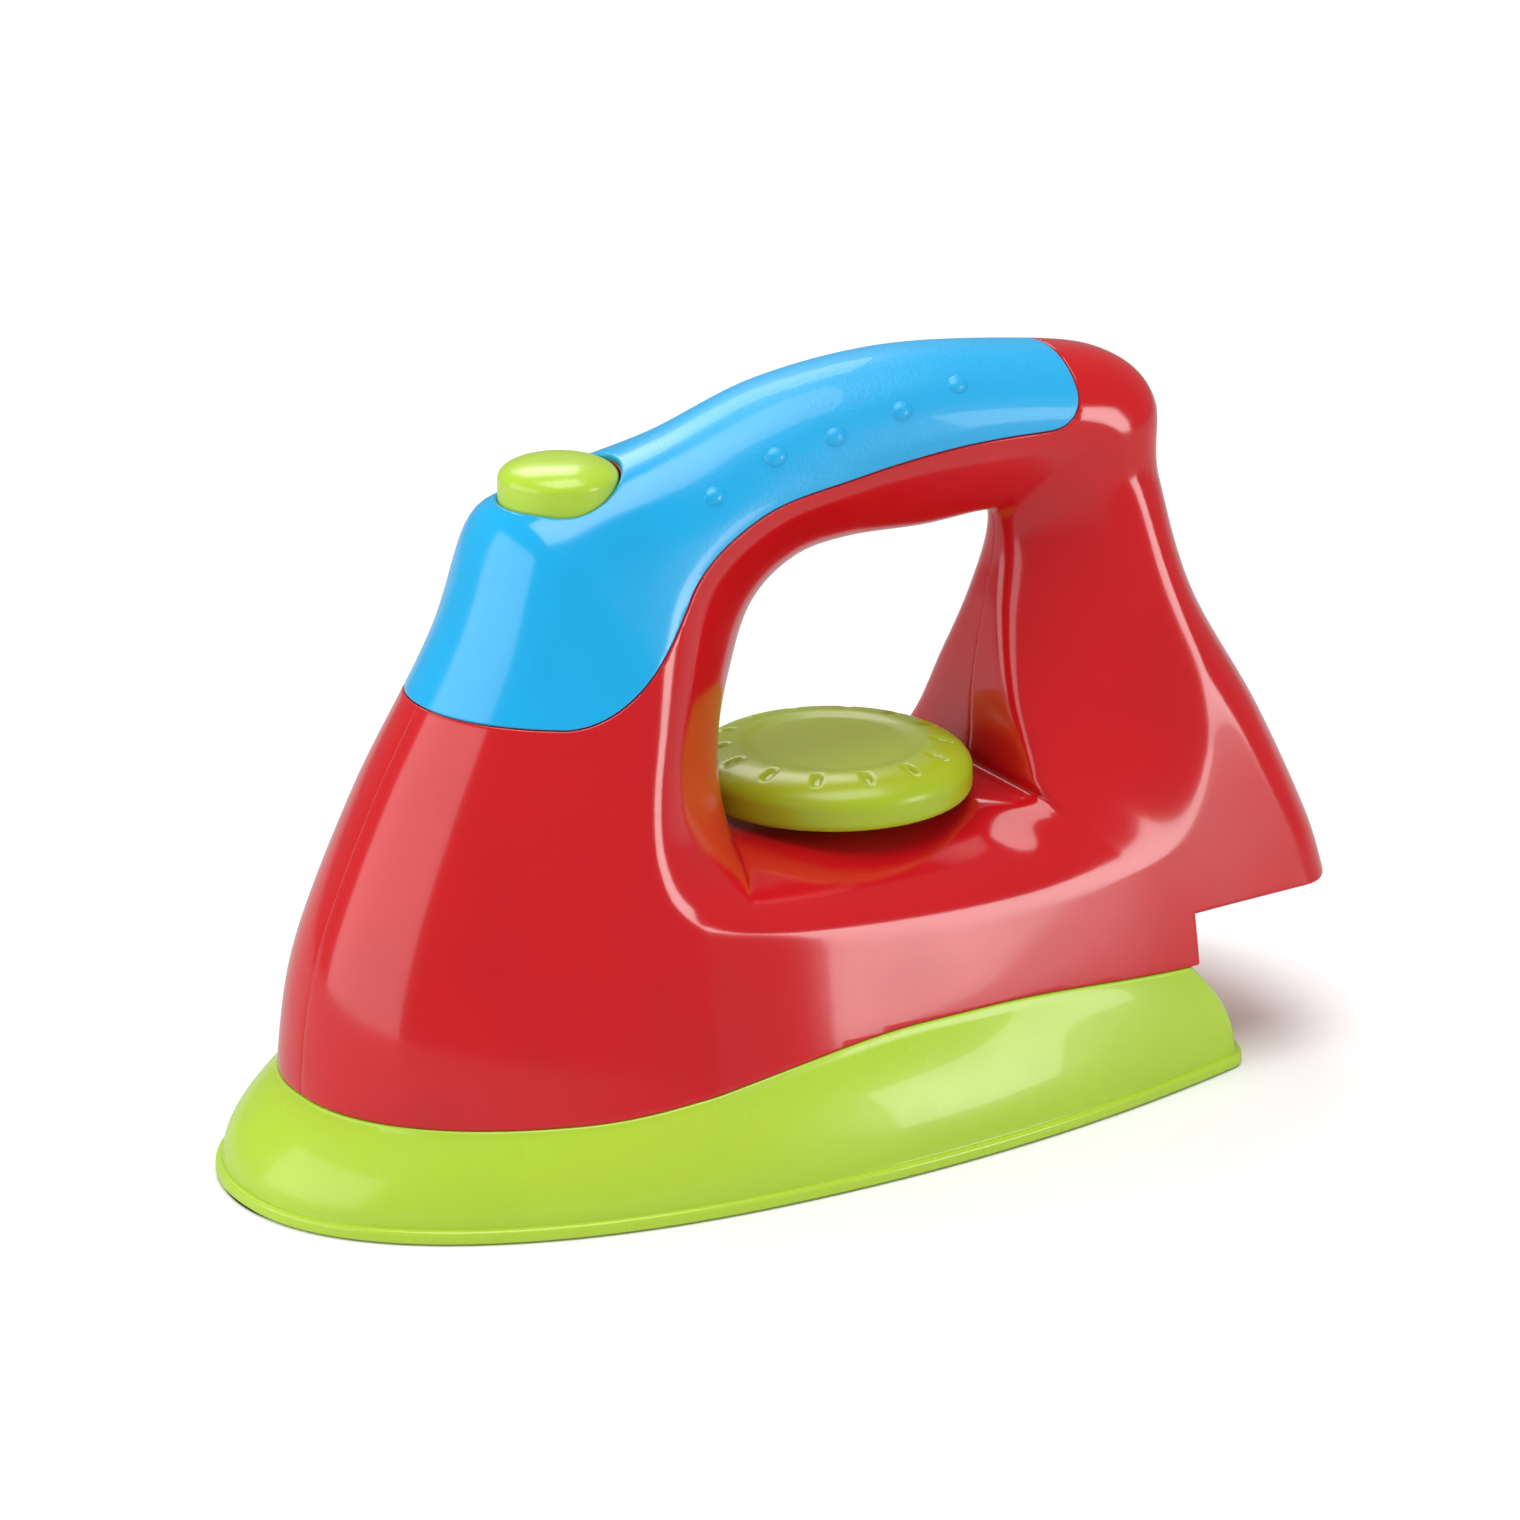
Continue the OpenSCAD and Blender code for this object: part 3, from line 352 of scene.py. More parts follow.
    def flare(self, angle: Array, share: Array) -> Array:
        """Opening of the window from its waist to its lip.

        Args:
            angle: Angle round the window, in degrees.
            share: Share of the way from the waist to the lip, across the body.

        Returns:
            Share of the way from the waist to the lip, in side view.
        """
        turned = (angle + 60) % 360 - 60
        power, hold = self.flare_power.at(turned), self.flare_hold.at(turned)
        ease, c = self.FLARE_EASE, self.FLARE_SOFT

        def held(at: Array | float) -> Array:
            """Stay low up to the hold, then rise evenly."""
            return ((at - hold) + np.sqrt((at - hold) ** 2 + ease**2)) / 2

        late = (held(share) - held(0.0)) / (held(1.0) - held(0.0))
        rise, whole = (late**2 + c * c) ** (power / 2), (1 + c * c) ** (power / 2)
        return (rise - c**power) / (whole - c**power)

    def half_at(self, points: Array) -> Array:
        """Half width of the body at places of the side view.

        Args:
            points: Distance from the sole's tip and height, one row each.

        Returns:
            One half width for each place, in millimetres.
        """
        s = self.sizes
        zs, xs = points[:, 1] / s.body_h, points[:, 0] / s.reach
        front, rear = self.nose_round.at(zs), self.rear_round.at(zs)
        run = s.reach * (front + (rear - front) * passed(xs, self.NOSE_TO_REAR))
        inward = np.clip(gap_to_line(points, self.outline, False) / run, 0, 1)
        wide = np.maximum(self.flank.at(zs) * self.plan.at(xs), self.LEAST_WIDTH)
        return s.half_w * wide * swell(inward)

    def seam_z(self, x: Array) -> Array:
        """Height of the seam between skirt and body."""
        s = self.sizes
        up, down = (passed(x / s.reach, part) for part in (self.SEAM_RISE, self.SEAM_FALL))
        return (s.seam_nose_z + (s.seam_crest_z - s.seam_nose_z) * up
                - (s.seam_crest_z - s.seam_rear_z) * down)

    def _cover_line(self) -> Array:
        """Side view of the handle cover's edge, as a closed line."""
        s = self.sizes
        angles = np.arange(*self.COVER_ANGLES)
        reach = self.ray(self.rim, angles) + s.cover_rim
        turn = np.radians(angles)
        lip = self.centre + reach[:, None] * np.stack([np.cos(turn), np.sin(turn)], 1)
        leave = lip[-1]
        t = np.linspace(1, 0, self.SWEEP_STEPS)[1:, None]
        sweep = np.concatenate([leave[0] - (1 - t) * s.cover_sweep,
                                s.cover_low_z + (leave[1] - s.cover_low_z) * t**2], 1)
        ahead, over = s.reach * self.NOSE - self.BEYOND_NOSE, s.body_h + self.BEYOND_TOP
        nose = np.array([[ahead, s.cover_low_z + self.NOSE_LIFT * s.body_h], [ahead, over],
                         [s.cover_end_x, over]])
        corner = np.array([s.cover_end_x - s.cover_end_round, lip[0][1] + s.cover_end_round])
        arc = np.radians(np.arange(0, -91, -10))
        end = corner + s.cover_end_round * np.stack([np.cos(arc), np.sin(arc)], 1)
        return np.concatenate([lip, sweep, nose, end])


class Skin:
    """A triangle mesh whose edges can be cut along a line and rounded there."""

    SNAP = 0.15
    WALL_SLOPE = 0.04
    SAME_PLACE = 2e-4

    def __init__(self, points: Array, normals: Array, faces: Array) -> None:
        """Keep points, their normals and the triangles between them, in millimetres."""
        self.points = points
        self.normals = normals
        self.faces = faces

    @classmethod
    def grid(cls, points: Array, wrap: bool, flip: bool) -> "Skin":
        """Make a skin from rows and columns of points.

        Args:
            points: Array of rows, columns and three coordinates.
            wrap: Whether the last row joins the first.
            flip: Whether the faces look the other way.

        Returns:
            The new skin, with coinciding points merged.
        """
        rows, cols = points.shape[:2]
        last = rows if wrap else rows - 1
        i, j = np.meshgrid(np.arange(last), np.arange(cols - 1), indexing="ij")
        a = i * cols + j
        d = ((i + 1) % rows) * cols + j
        quads = np.stack([a, a + 1, d + 1, d], -1).reshape(-1, 4)
        if flip:
            quads = quads[:, ::-1]
        faces = np.concatenate([quads[:, [0, 1, 2]], quads[:, [0, 2, 3]]])
        return cls.merged(points.reshape(-1, 3), faces, cls.SAME_PLACE)

    @classmethod
    def merged(cls, points: Array, faces: Array, near: float) -> "Skin":
        """Make a skin from triangles, with coinciding points merged.

        Args:
            points: Places, one row each.
            faces: Triangles as rows of point numbers.
            near: Width of the cells within which points are one.

        Returns:
            The new skin.
        """
        keys = np.round(points / near).astype(np.int64)
        _, first, back = np.unique(keys, axis=0, return_index=True, return_inverse=True)
        faces = back.reshape(-1)[faces]
        real = (faces != np.roll(faces, 1, axis=1)).all(1)
        skin = cls(points[first], np.zeros((len(first), 3)), faces[real])
        skin.find_normals()
        return skin

    def find_normals(self) -> None:
        """Work the point normals out from the triangles round each point."""
        p = self.points[self.faces]
        face = np.cross(p[:, 1] - p[:, 0], p[:, 2] - p[:, 0])
        total = np.zeros_like(self.points)
        for k in range(3):
            np.add.at(total, self.faces[:, k], face)
        self.normals = total / np.maximum(np.linalg.norm(total, axis=1), 1e-12)[:, None]

    def split(self, measure: Measure, level: float, snap: float = 0.0) -> None:
        """Add edges along the line where a measure has a level.

        Args:
            measure: Gives one number for each point.
            level: The level at which triangles are split.
            snap: Share of an edge within which a point moves onto the line instead.
        """
        value = measure(self.points) - level
        if snap:
            a, b, t = self._crossed(value)
            near, beyond = t < snap, t > 1 - snap
            ends = np.concatenate([a[near], b[beyond]])
            others = np.concatenate([b[near], a[beyond]])
            shares = np.concatenate([t[near], 1 - t[beyond]])
            ends, first = np.unique(ends, return_index=True)
            others, shares = others[first], shares[first][:, None]
            for rows in (self.points, self.normals):
                rows[ends] += (rows[others] - rows[ends]) * shares
            value[ends] = 0
        value[np.abs(value) < 1e-9] = 0
        a, b, t = self._crossed(value)
        if not len(a):
            return
        size = len(self.points)
        self.points, self.normals = (
            np.concatenate([rows, rows[a] + (rows[b] - rows[a]) * t[:, None]])
            for rows in (self.points, self.normals))
        keys = a.astype(np.int64) * size + b
        order = np.argsort(keys)
        keys = keys[order]

        def middle(p: Array, q: Array) -> Array:
            """New point on the edge between p and q."""
            want = np.minimum(p, q).astype(np.int64) * size + np.maximum(p, q)
            return size + order[np.searchsorted(keys, want)]

        sign = np.sign(value)[self.faces]
        cut = [(sign[:, k] * sign[:, (k + 1) % 3]) < 0 for k in range(3)]
        count = cut[0].astype(int) + cut[1] + cut[2]
        made = [self.faces[count == 0]]
        for k in range(3):
            a, b, c = np.roll(self.faces[(count == 1) & cut[k]], -k, axis=1).T
            if len(a):
                m = middle(a, b)
                made += [np.stack([a, m, c], 1), np.stack([m, b, c], 1)]
            a, b, c = np.roll(self.faces[(count == 2) & cut[k] & cut[(k + 2) % 3]], -k, axis=1).T
            if len(a):
                m, n = middle(a, b), middle(c, a)
                made += [np.stack([a, m, n], 1), np.stack([m, b, c], 1), np.stack([m, c, n], 1)]
        self.faces = np.concatenate(made)

    def _sides(self) -> Array:
        """The three directed edges of every triangle."""
        return np.concatenate([self.faces[:, [0, 1]], self.faces[:, [1, 2]], self.faces[:, [2, 0]]])

    def _crossed(self, value: Array) -> tuple[Array, Array, Array]:
        """Ends of each edge along which a value changes sign, and the share where it is zero."""
        a, b = np.unique(np.sort(self._sides(), axis=1), axis=0).T
        cross = value[a] * value[b] < 0
        a, b = a[cross], b[cross]
        return a, b, value[a] / (value[a] - value[b])

    def keep(self, measure: Measure, level: float) -> None:
        """Drop the triangles whose middle is below a level of the measure."""
        middle = self.points[self.faces].mean(1)
        self.faces = self.faces[measure(middle) >= level]
        used, back = np.unique(self.faces, return_inverse=True)
        self.faces = back.reshape(-1, 3)
        self.points, self.normals = self.points[used], self.normals[used]

    def cut(self, measure: Measure, level: float, radius: float, steps: int = 4) -> None:
        """Cut the skin along a line and round its new edge.

        Args:
            measure: Distance from the line, positive on the side that stays.
            level: Distance at which the edge lies.
            radius: Radius of the rounding.
            steps: Strips in the rounding.
        """
        self.split(measure, level, self.SNAP)
        self.keep(measure, level)
        self._round(measure, level, radius, steps)

    def step(self, measure: Measure, level: float, depth: float, radius: float) -> None:
        """Sink the part of the skin beyond a line, with a rounded edge on the side that stays.

        Args:
            measure: Distance from the line, positive on the side that stays.
            level: Distance at which the edge lies.
            depth: Depth of the sunken part.
            radius: Radius of the rounding.
        """
        self.split(measure, level, self.SNAP)
        self.split(measure, level - self.WALL_SLOPE)
        self._round(measure, level, radius, 3, depth)

    def _round(self, measure: Measure, level: float, radius: float, steps: int,
               depth: float = 0.0) -> None:
        """Round the skin off towards a line, and sink what lies beyond the wall there."""
        for k in range(1, steps + 1):
            self.split(measure, level + radius * (1 - math.cos(math.pi / 2 * k / steps)))
        value = measure(self.points) - level
        near = np.clip(value / radius, 0, 1)
        drop = radius * (1 - np.sqrt(np.clip(1 - (1 - near) ** 2, 0, 1)))
        if depth:
            drop = np.where(value < -self.WALL_SLOPE / 2, depth, drop)
        self.points = self.points - self.normals * drop[:, None]

    def closed(self, thickness: float) -> Form:
        """Give the skin a thickness.

        Args:
            thickness: Wall in millimetres, laid inwards.

        Returns:
            Points and triangles of the closed form.
        """
        size = len(self.points)
        inner = self.points - self.normals * thickness
        e = self._sides().astype(np.int64)
        a, b = e[~np.isin(e[:, 0] * size + e[:, 1], e[:, 1] * size + e[:, 0])].T
        rim = [np.stack([b, a, a + size], 1), np.stack([b, a + size, b + size], 1)]
        faces = np.concatenate([self.faces, self.faces[:, ::-1] + size, *rim])
        return np.concatenate([self.points, inner]), faces.tolist()


@dataclass(frozen=True)
class RoundHole:
    """Round hole along one axis, within a range of that axis."""

    place: Pair
    radius: float
    axis: int
    start: float = -math.inf
    end: float = math.inf

    def outside(self, points: Array) -> Array:
        """Distance from the hole's edge, and far for points beyond the hole's range."""
        across = np.delete(points, self.axis, 1) - self.place
        along = points[:, self.axis]
        gap = np.hypot(across[:, 0], across[:, 1]) - self.radius
        return np.where((along > self.start) & (along < self.end), gap, FAR)


class Workshop:
    """Turns points in millimetres from the sole's tip into objects in the row frame."""

    def __init__(self, sizes: BodySizes) -> None:
        """Remember where the sole's tip lies in the row frame."""
        self.shift = np.array([-sizes.reach / 2, 0.0, 0.0])

    def piece(self, name: str, points: Array, faces: Sequence[Sequence[int]], body: str, slot: Slot,
              material: bpy.types.Material, sharp: float = 38.0) -> bpy.types.Object:
        """Make one piece and let it ride on a body.

        Args:
            name: Name of the piece.
            points: Places in millimetres from the sole's tip.
            faces: Faces as rows of point numbers.
            body: CAD body that the piece rides on.
            slot: Material slot of the record; not used.
            material: Finish of the piece.
            sharp: Angle in degrees above which an edge is shaded sharp.

        Returns:
            The new object.
        """
        mesh = bpy.data.meshes.new(name)
        places = (np.asarray(points) + self.shift) * MM
        mesh.from_pydata(places.tolist(), [], [list(map(int, f)) for f in faces])
        mesh.update()
        made = bmesh.new()
        made.from_mesh(mesh)
        bmesh.ops.remove_doubles(made, verts=made.verts, dist=2e-7)
        bmesh.ops.dissolve_degenerate(made, edges=made.edges, dist=1e-7)
        made.to_mesh(mesh)
        made.free()
        mesh.polygons.foreach_set("use_smooth", [True] * len(mesh.polygons))
        mesh.set_sharp_from_angle(angle=math.radians(sharp))
        mesh.materials.append(material)
        piece = bpy.data.objects.new(name, mesh)
        bpy.context.scene.collection.objects.link(piece)
        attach(piece, body)
        LOG.info("%s: %d faces on %s", name, len(mesh.polygons), body)
        return piece


def revolve(profile: Sequence[Pair], around: Pair, sides: int = 40,
            tube: bool = False) -> Form:
    """Turn a profile round an upright axis.

    Args:
        profile: Radius and height of each ring, from the lowest end outwards and up.
        around: Distance along the iron and across it of the axis.
        sides: Sides of a ring.
        tube: Whether the last ring joins the first, instead of a face over each end.

    Returns:
        Points and faces of the closed form.
    """
    line, turn = np.array(profile), around_axis(sides)
    n = len(line)
    points = np.stack([around[0] + line[:, :1] * turn[:, 0], around[1] + line[:, :1] * turn[:, 1],
                       np.repeat(line[:, 1:], sides, 1)], -1).reshape(-1, 3)
    faces = []
    for i in range(n if tube else n - 1):
        low, high = i * sides, (i + 1) % n * sides
        faces += [[low + j, low + (j + 1) % sides, high + (j + 1) % sides, high + j]
                  for j in range(sides)]
    if not tube:
        faces += [list(range(sides))[::-1], list(range((n - 1) * sides, n * sides))]
    return points, faces


def joined(parts: Sequence[Form]) -> Form:
    """Put the points and faces of several forms into one list of each."""
    points, faces, count = [], [], 0
    for more, sides in parts:
        faces += [[k + count for k in face] for face in sides]
        points.append(more)
        count += len(more)
    return np.concatenate(points), faces


def rounded(corners: Sequence[Triple], steps: int = 5) -> list[Pair]:
    """Round the corners of an open profile.

    Args:
        corners: Radius, height and rounding of each corner.
        steps: Points in a rounded corner, less one.

    Returns:
        The profile's points.
    """
    line: list[Pair] = []
    for i, (x, z, r) in enumerate(corners):
        here = np.array([x, z])
        if r <= 0 or i in (0, len(corners) - 1):
            line.append((x, z))
            continue
        back = np.array(corners[i - 1][:2]) - here
        ahead = np.array(corners[i + 1][:2]) - here
        reach = min(r, 0.48 * np.linalg.norm(back), 0.48 * np.linalg.norm(ahead))
        a = here + back / np.linalg.norm(back) * reach
        b = here + ahead / np.linalg.norm(ahead) * reach
        for k in range(steps + 1):
            t = k / steps
            p = (1 - t) ** 2 * a + 2 * t * (1 - t) * here + t * t * b
            line.append((float(p[0]), float(p[1])))
    return line


class Nodes:
    """Adds linked nodes to one shader tree."""

    def __init__(self, tree: bpy.types.NodeTree) -> None:
        """Keep the tree."""
        self.tree = tree

    def feed(self, node: bpy.types.Node, values: Values) -> bpy.types.Node:
        """Set or link the inputs of a node.

        Args:
            node: The node.
            values: For each input, the number or colour it holds or the output that feeds it.

        Returns:
            The same node.
        """
        for key, value in values.items():
            if isinstance(value, bpy.types.NodeSocket):
                self.tree.links.new(value, node.inputs[key])
            else:
                node.inputs[key].default_value = value
        return node

    def add(self, kind: str, values: Values) -> bpy.types.Node:
        """Add a node of a kind and feed it."""
        return self.feed(self.tree.nodes.new("ShaderNode" + kind), values)

    def place(self) -> bpy.types.NodeSocket:
        """Place on the object, in its own coordinates."""
        return self.add("TexCoord", {}).outputs["Object"]

    def group(self, tree: bpy.types.NodeTree, values: Values) -> bpy.types.Node:
        """Add a shared group and feed it."""
        node = self.tree.nodes.new("ShaderNodeGroup")
        node.node_tree = tree
        return self.feed(node, values)

    def mix(self, kind: str, factor: Source, a: Source, b: Source) -> bpy.types.NodeSocket:
        """Mix two numbers, colours or vectors."""
        node = self.tree.nodes.new("ShaderNodeMix")
        node.data_type = kind
        return self.feed(node, {"Factor": factor, "A": a, "B": b}).outputs["Result"]

    def ramp(self, value: Source, start: float, end: float) -> bpy.types.NodeSocket:
        """Ease from 0 to 1 while a value goes from start to end."""
        node = self.tree.nodes.new("ShaderNodeMapRange")
        node.interpolation_type = "SMOOTHSTEP"
        self.feed(node, {"Value": value, "From Min": start, "From Max": end})
        return node.outputs["Result"]

    def spread(self, share: Source, low: float, high: float) -> bpy.types.NodeSocket:
        """Turn a share into a number from low to high."""
        node = self.add("MapRange", {"Value": share, "To Min": low, "To Max": high})
        return node.outputs["Result"]

    def product(self, a: Source, b: Source) -> bpy.types.NodeSocket:
        """Multiply two numbers."""
        node = self.tree.nodes.new("ShaderNodeMath")
        node.operation = "MULTIPLY"
        return self.feed(node, {0: a, 1: b}).outputs[0]


def new_material(name: str) -> tuple[bpy.types.Material, bpy.types.Node, Nodes]:
    """Start a material.

    Args:
        name: Name of the material.

    Returns:
        The material, its Principled node and its tree.
    """
    made = bpy.data.materials.new(name)
    made.use_nodes = True
    return made, made.node_tree.nodes["Principled BSDF"], Nodes(made.node_tree)


class Effects:
    """Shader node groups that several finishes share."""

    def __init__(self) -> None:
        """Build each group once."""
        self.grain = self._grain()
        self.handling = self._handling()

    @staticmethod
    def _group(name: str, inputs: Sequence[tuple[str, float]], outputs: Sequence[tuple[str, str]],
               ) -> tuple[Nodes, bpy.types.Node, bpy.types.Node]:
        """Start a group with its sockets.

        Args:
            name: Name of the group.
            inputs: Name and usual value of each number that goes in.
            outputs: Name and socket type of each thing that comes out.

        Returns:
            The group, its input node and its output node.
        """
        tree = bpy.data.node_groups.new(name, "ShaderNodeTree")
        for label, value in inputs:
            socket = tree.interface.new_socket(label, in_out="INPUT", socket_type="NodeSocketFloat")
            socket.default_value = value
        for label, kind in outputs:
            tree.interface.new_socket(label, in_out="OUTPUT", socket_type=kind)
        return Nodes(tree), tree.nodes.new("NodeGroupInput"), tree.nodes.new("NodeGroupOutput")

    def _grain(self) -> bpy.types.NodeTree:
        """Fine grain of a moulded surface, over its slow waviness."""
        nodes, given, out = self._group(
            "mould_grain", [("Scale", 900.0), ("Depth", 0.02), ("Waviness", 0.05)],
            [("Normal", "NodeSocketVector"), ("Mask", "NodeSocketFloat")])
        place = nodes.place()
        fine = nodes.add("TexNoise", {"Vector": place, "Scale": given.outputs["Scale"],
                                      "Detail": 3.0})
        slow = nodes.add("TexNoise", {"Vector": place, "Scale": 38.0, "Detail": 1.0})
        wave = nodes.add("Bump", {"Strength": given.outputs["Waviness"], "Distance": 0.0004,
                                  "Height": slow.outputs["Fac"]})
        bump = nodes.add("Bump", {"Strength": given.outputs["Depth"], "Distance": 0.0003,
                                  "Height": fine.outputs["Fac"], "Normal": wave.outputs["Normal"]})
        nodes.feed(out, {"Normal": bump.outputs["Normal"], "Mask": fine.outputs["Fac"]})
        return nodes.tree

    def _handling(self) -> bpy.types.NodeTree:
        """Soft patches where hands and dust dull the gloss."""
        nodes, given, out = self._group("handling", [("Scale", 26.0), ("Amount", 0.5)],
                                        [("Mask", "NodeSocketFloat")])
        noise = nodes.add("TexNoise", {"Vector": nodes.place(), "Scale": given.outputs["Scale"],
                                       "Detail": 4.0, "Roughness": 0.6})
        patches = nodes.ramp(noise.outputs["Fac"], 0.42, 0.68)
        nodes.feed(out, {"Mask": nodes.product(patches, given.outputs["Amount"])})
        return nodes.tree


@dataclass(frozen=True)
class Grip:
    """Matt grained part of a finish, between two places along X, in metres."""

    start: float
    end: float
    depth: float
    scale: float
    roughness: float


@dataclass(frozen=True)
class PlasticFinish:
    """Finish of a moulded plastic."""

    name: str
    colour: Triple
    shade: Triple
    roughness: float = 0.2
    dull: float = 0.1
    grain_scale: float = 900.0
    grain_depth: float = 0.02
    waviness: float = 0.05
    coat: float = 0.25
    grip: Optional[Grip] = None

    def material(self, effects: Effects) -> bpy.types.Material:
        """Build the material from the shared node groups."""
        made, shader, nodes = new_material(self.name)
        made.diffuse_color = (*self.colour, 1.0)
        worn = nodes.group(effects.handling, {}).outputs["Mask"]
        rough = nodes.spread(worn, self.roughness, self.roughness + self.dull)
        normal = nodes.group(effects.grain, {"Scale": self.grain_scale, "Depth": self.grain_depth,
                                             "Waviness": self.waviness}).outputs["Normal"]
        if self.grip is not None:
            axes = nodes.add("SeparateXYZ", {"Vector": nodes.place()})
            along = nodes.ramp(axes.outputs["X"], self.grip.start, self.grip.end)
            coarse = nodes.group(effects.grain, {"Scale": self.grip.scale, "Depth": self.grip.depth,
                                                 "Waviness": self.waviness})
            normal = nodes.mix("VECTOR", along, normal, coarse.outputs["Normal"])
            rough = nodes.mix("FLOAT", along, rough, self.grip.roughness)
        nodes.feed(shader, {
            "Base Color": nodes.mix("RGBA", worn, (*self.colour, 1.0), (*self.shade, 1.0)),
            "Roughness": rough, "Normal": normal, "IOR": 1.5, "Coat Weight": self.coat,
            "Coat Roughness": 0.04})
        return made


@dataclass(frozen=True)
class SteelFinish:
    """Finish of zinc-plated steel."""

    name: str
    colour: Triple = (0.60, 0.60, 0.62)
    roughness: float = 0.32

    def material(self, effects: Effects) -> bpy.types.Material:
        """Build the material from the shared node groups."""
        made, shader, nodes = new_material(self.name)
        grain = nodes.group(effects.grain, {"Scale": 2600.0, "Depth": 0.12})
        low, high = self.roughness - 0.1, self.roughness + 0.15
        nodes.feed(shader, {
            "Metallic": 1.0, "Base Color": (*self.colour, 1.0), "Normal": grain.outputs["Normal"],
            "Roughness": nodes.spread(grain.outputs["Mask"], low, high)})
        return made


RED = PlasticFinish("red_moulded", (0.55, 0.006, 0.010), (0.46, 0.005, 0.008),
                    roughness=0.14, dull=0.07)
BLUE = PlasticFinish("blue_moulded", (0.004, 0.385, 0.74), (0.003, 0.33, 0.66),
                     roughness=0.2, dull=0.08, grip=Grip(-0.035, 0.0, 0.28, 1500.0, 0.42))
LIME = PlasticFinish("lime_moulded", (0.42, 0.62, 0.035), (0.37, 0.56, 0.028),
                     roughness=0.26, dull=0.1, grain_depth=0.04)
# Lime of the dial, darker than the skirt's: painted shade standing in for the red bounce and dim
# reflections on the dial
DIAL_SHADED_LIME = PlasticFinish("dial_lime_painted_shade", (0.36, 0.49, 0.014), (0.32, 0.45, 0.012),
                     roughness=0.3, dull=0.1, grain_depth=0.04, coat=0.1)
WHITE = PlasticFinish("white_moulded", (0.82, 0.82, 0.80), (0.74, 0.74, 0.72),
                      roughness=0.4, coat=0.0)
STEEL = SteelFinish("zinc_steel")


@dataclass
class Part:
    """Sub-assembly in one finish, with the side view that it follows."""

    side_view: SideView
    workshop: Workshop
    finish: bpy.types.Material

    @property
    def sizes(self) -> BodySizes:
        """Sizes of the body."""
        return self.side_view.sizes

    def make(self, name: str, form: Form, body: str, slot: Slot) -> bpy.types.Object:
        """Make a piece in this part's finish.

        Args:
            name: Name of the piece.
            form: Its points and faces.
            body: CAD body that it rides on.
            slot: Material slot of the record.

        Returns:
            The new object.
        """
        return self.workshop.piece(name, *form, body, slot, self.finish)


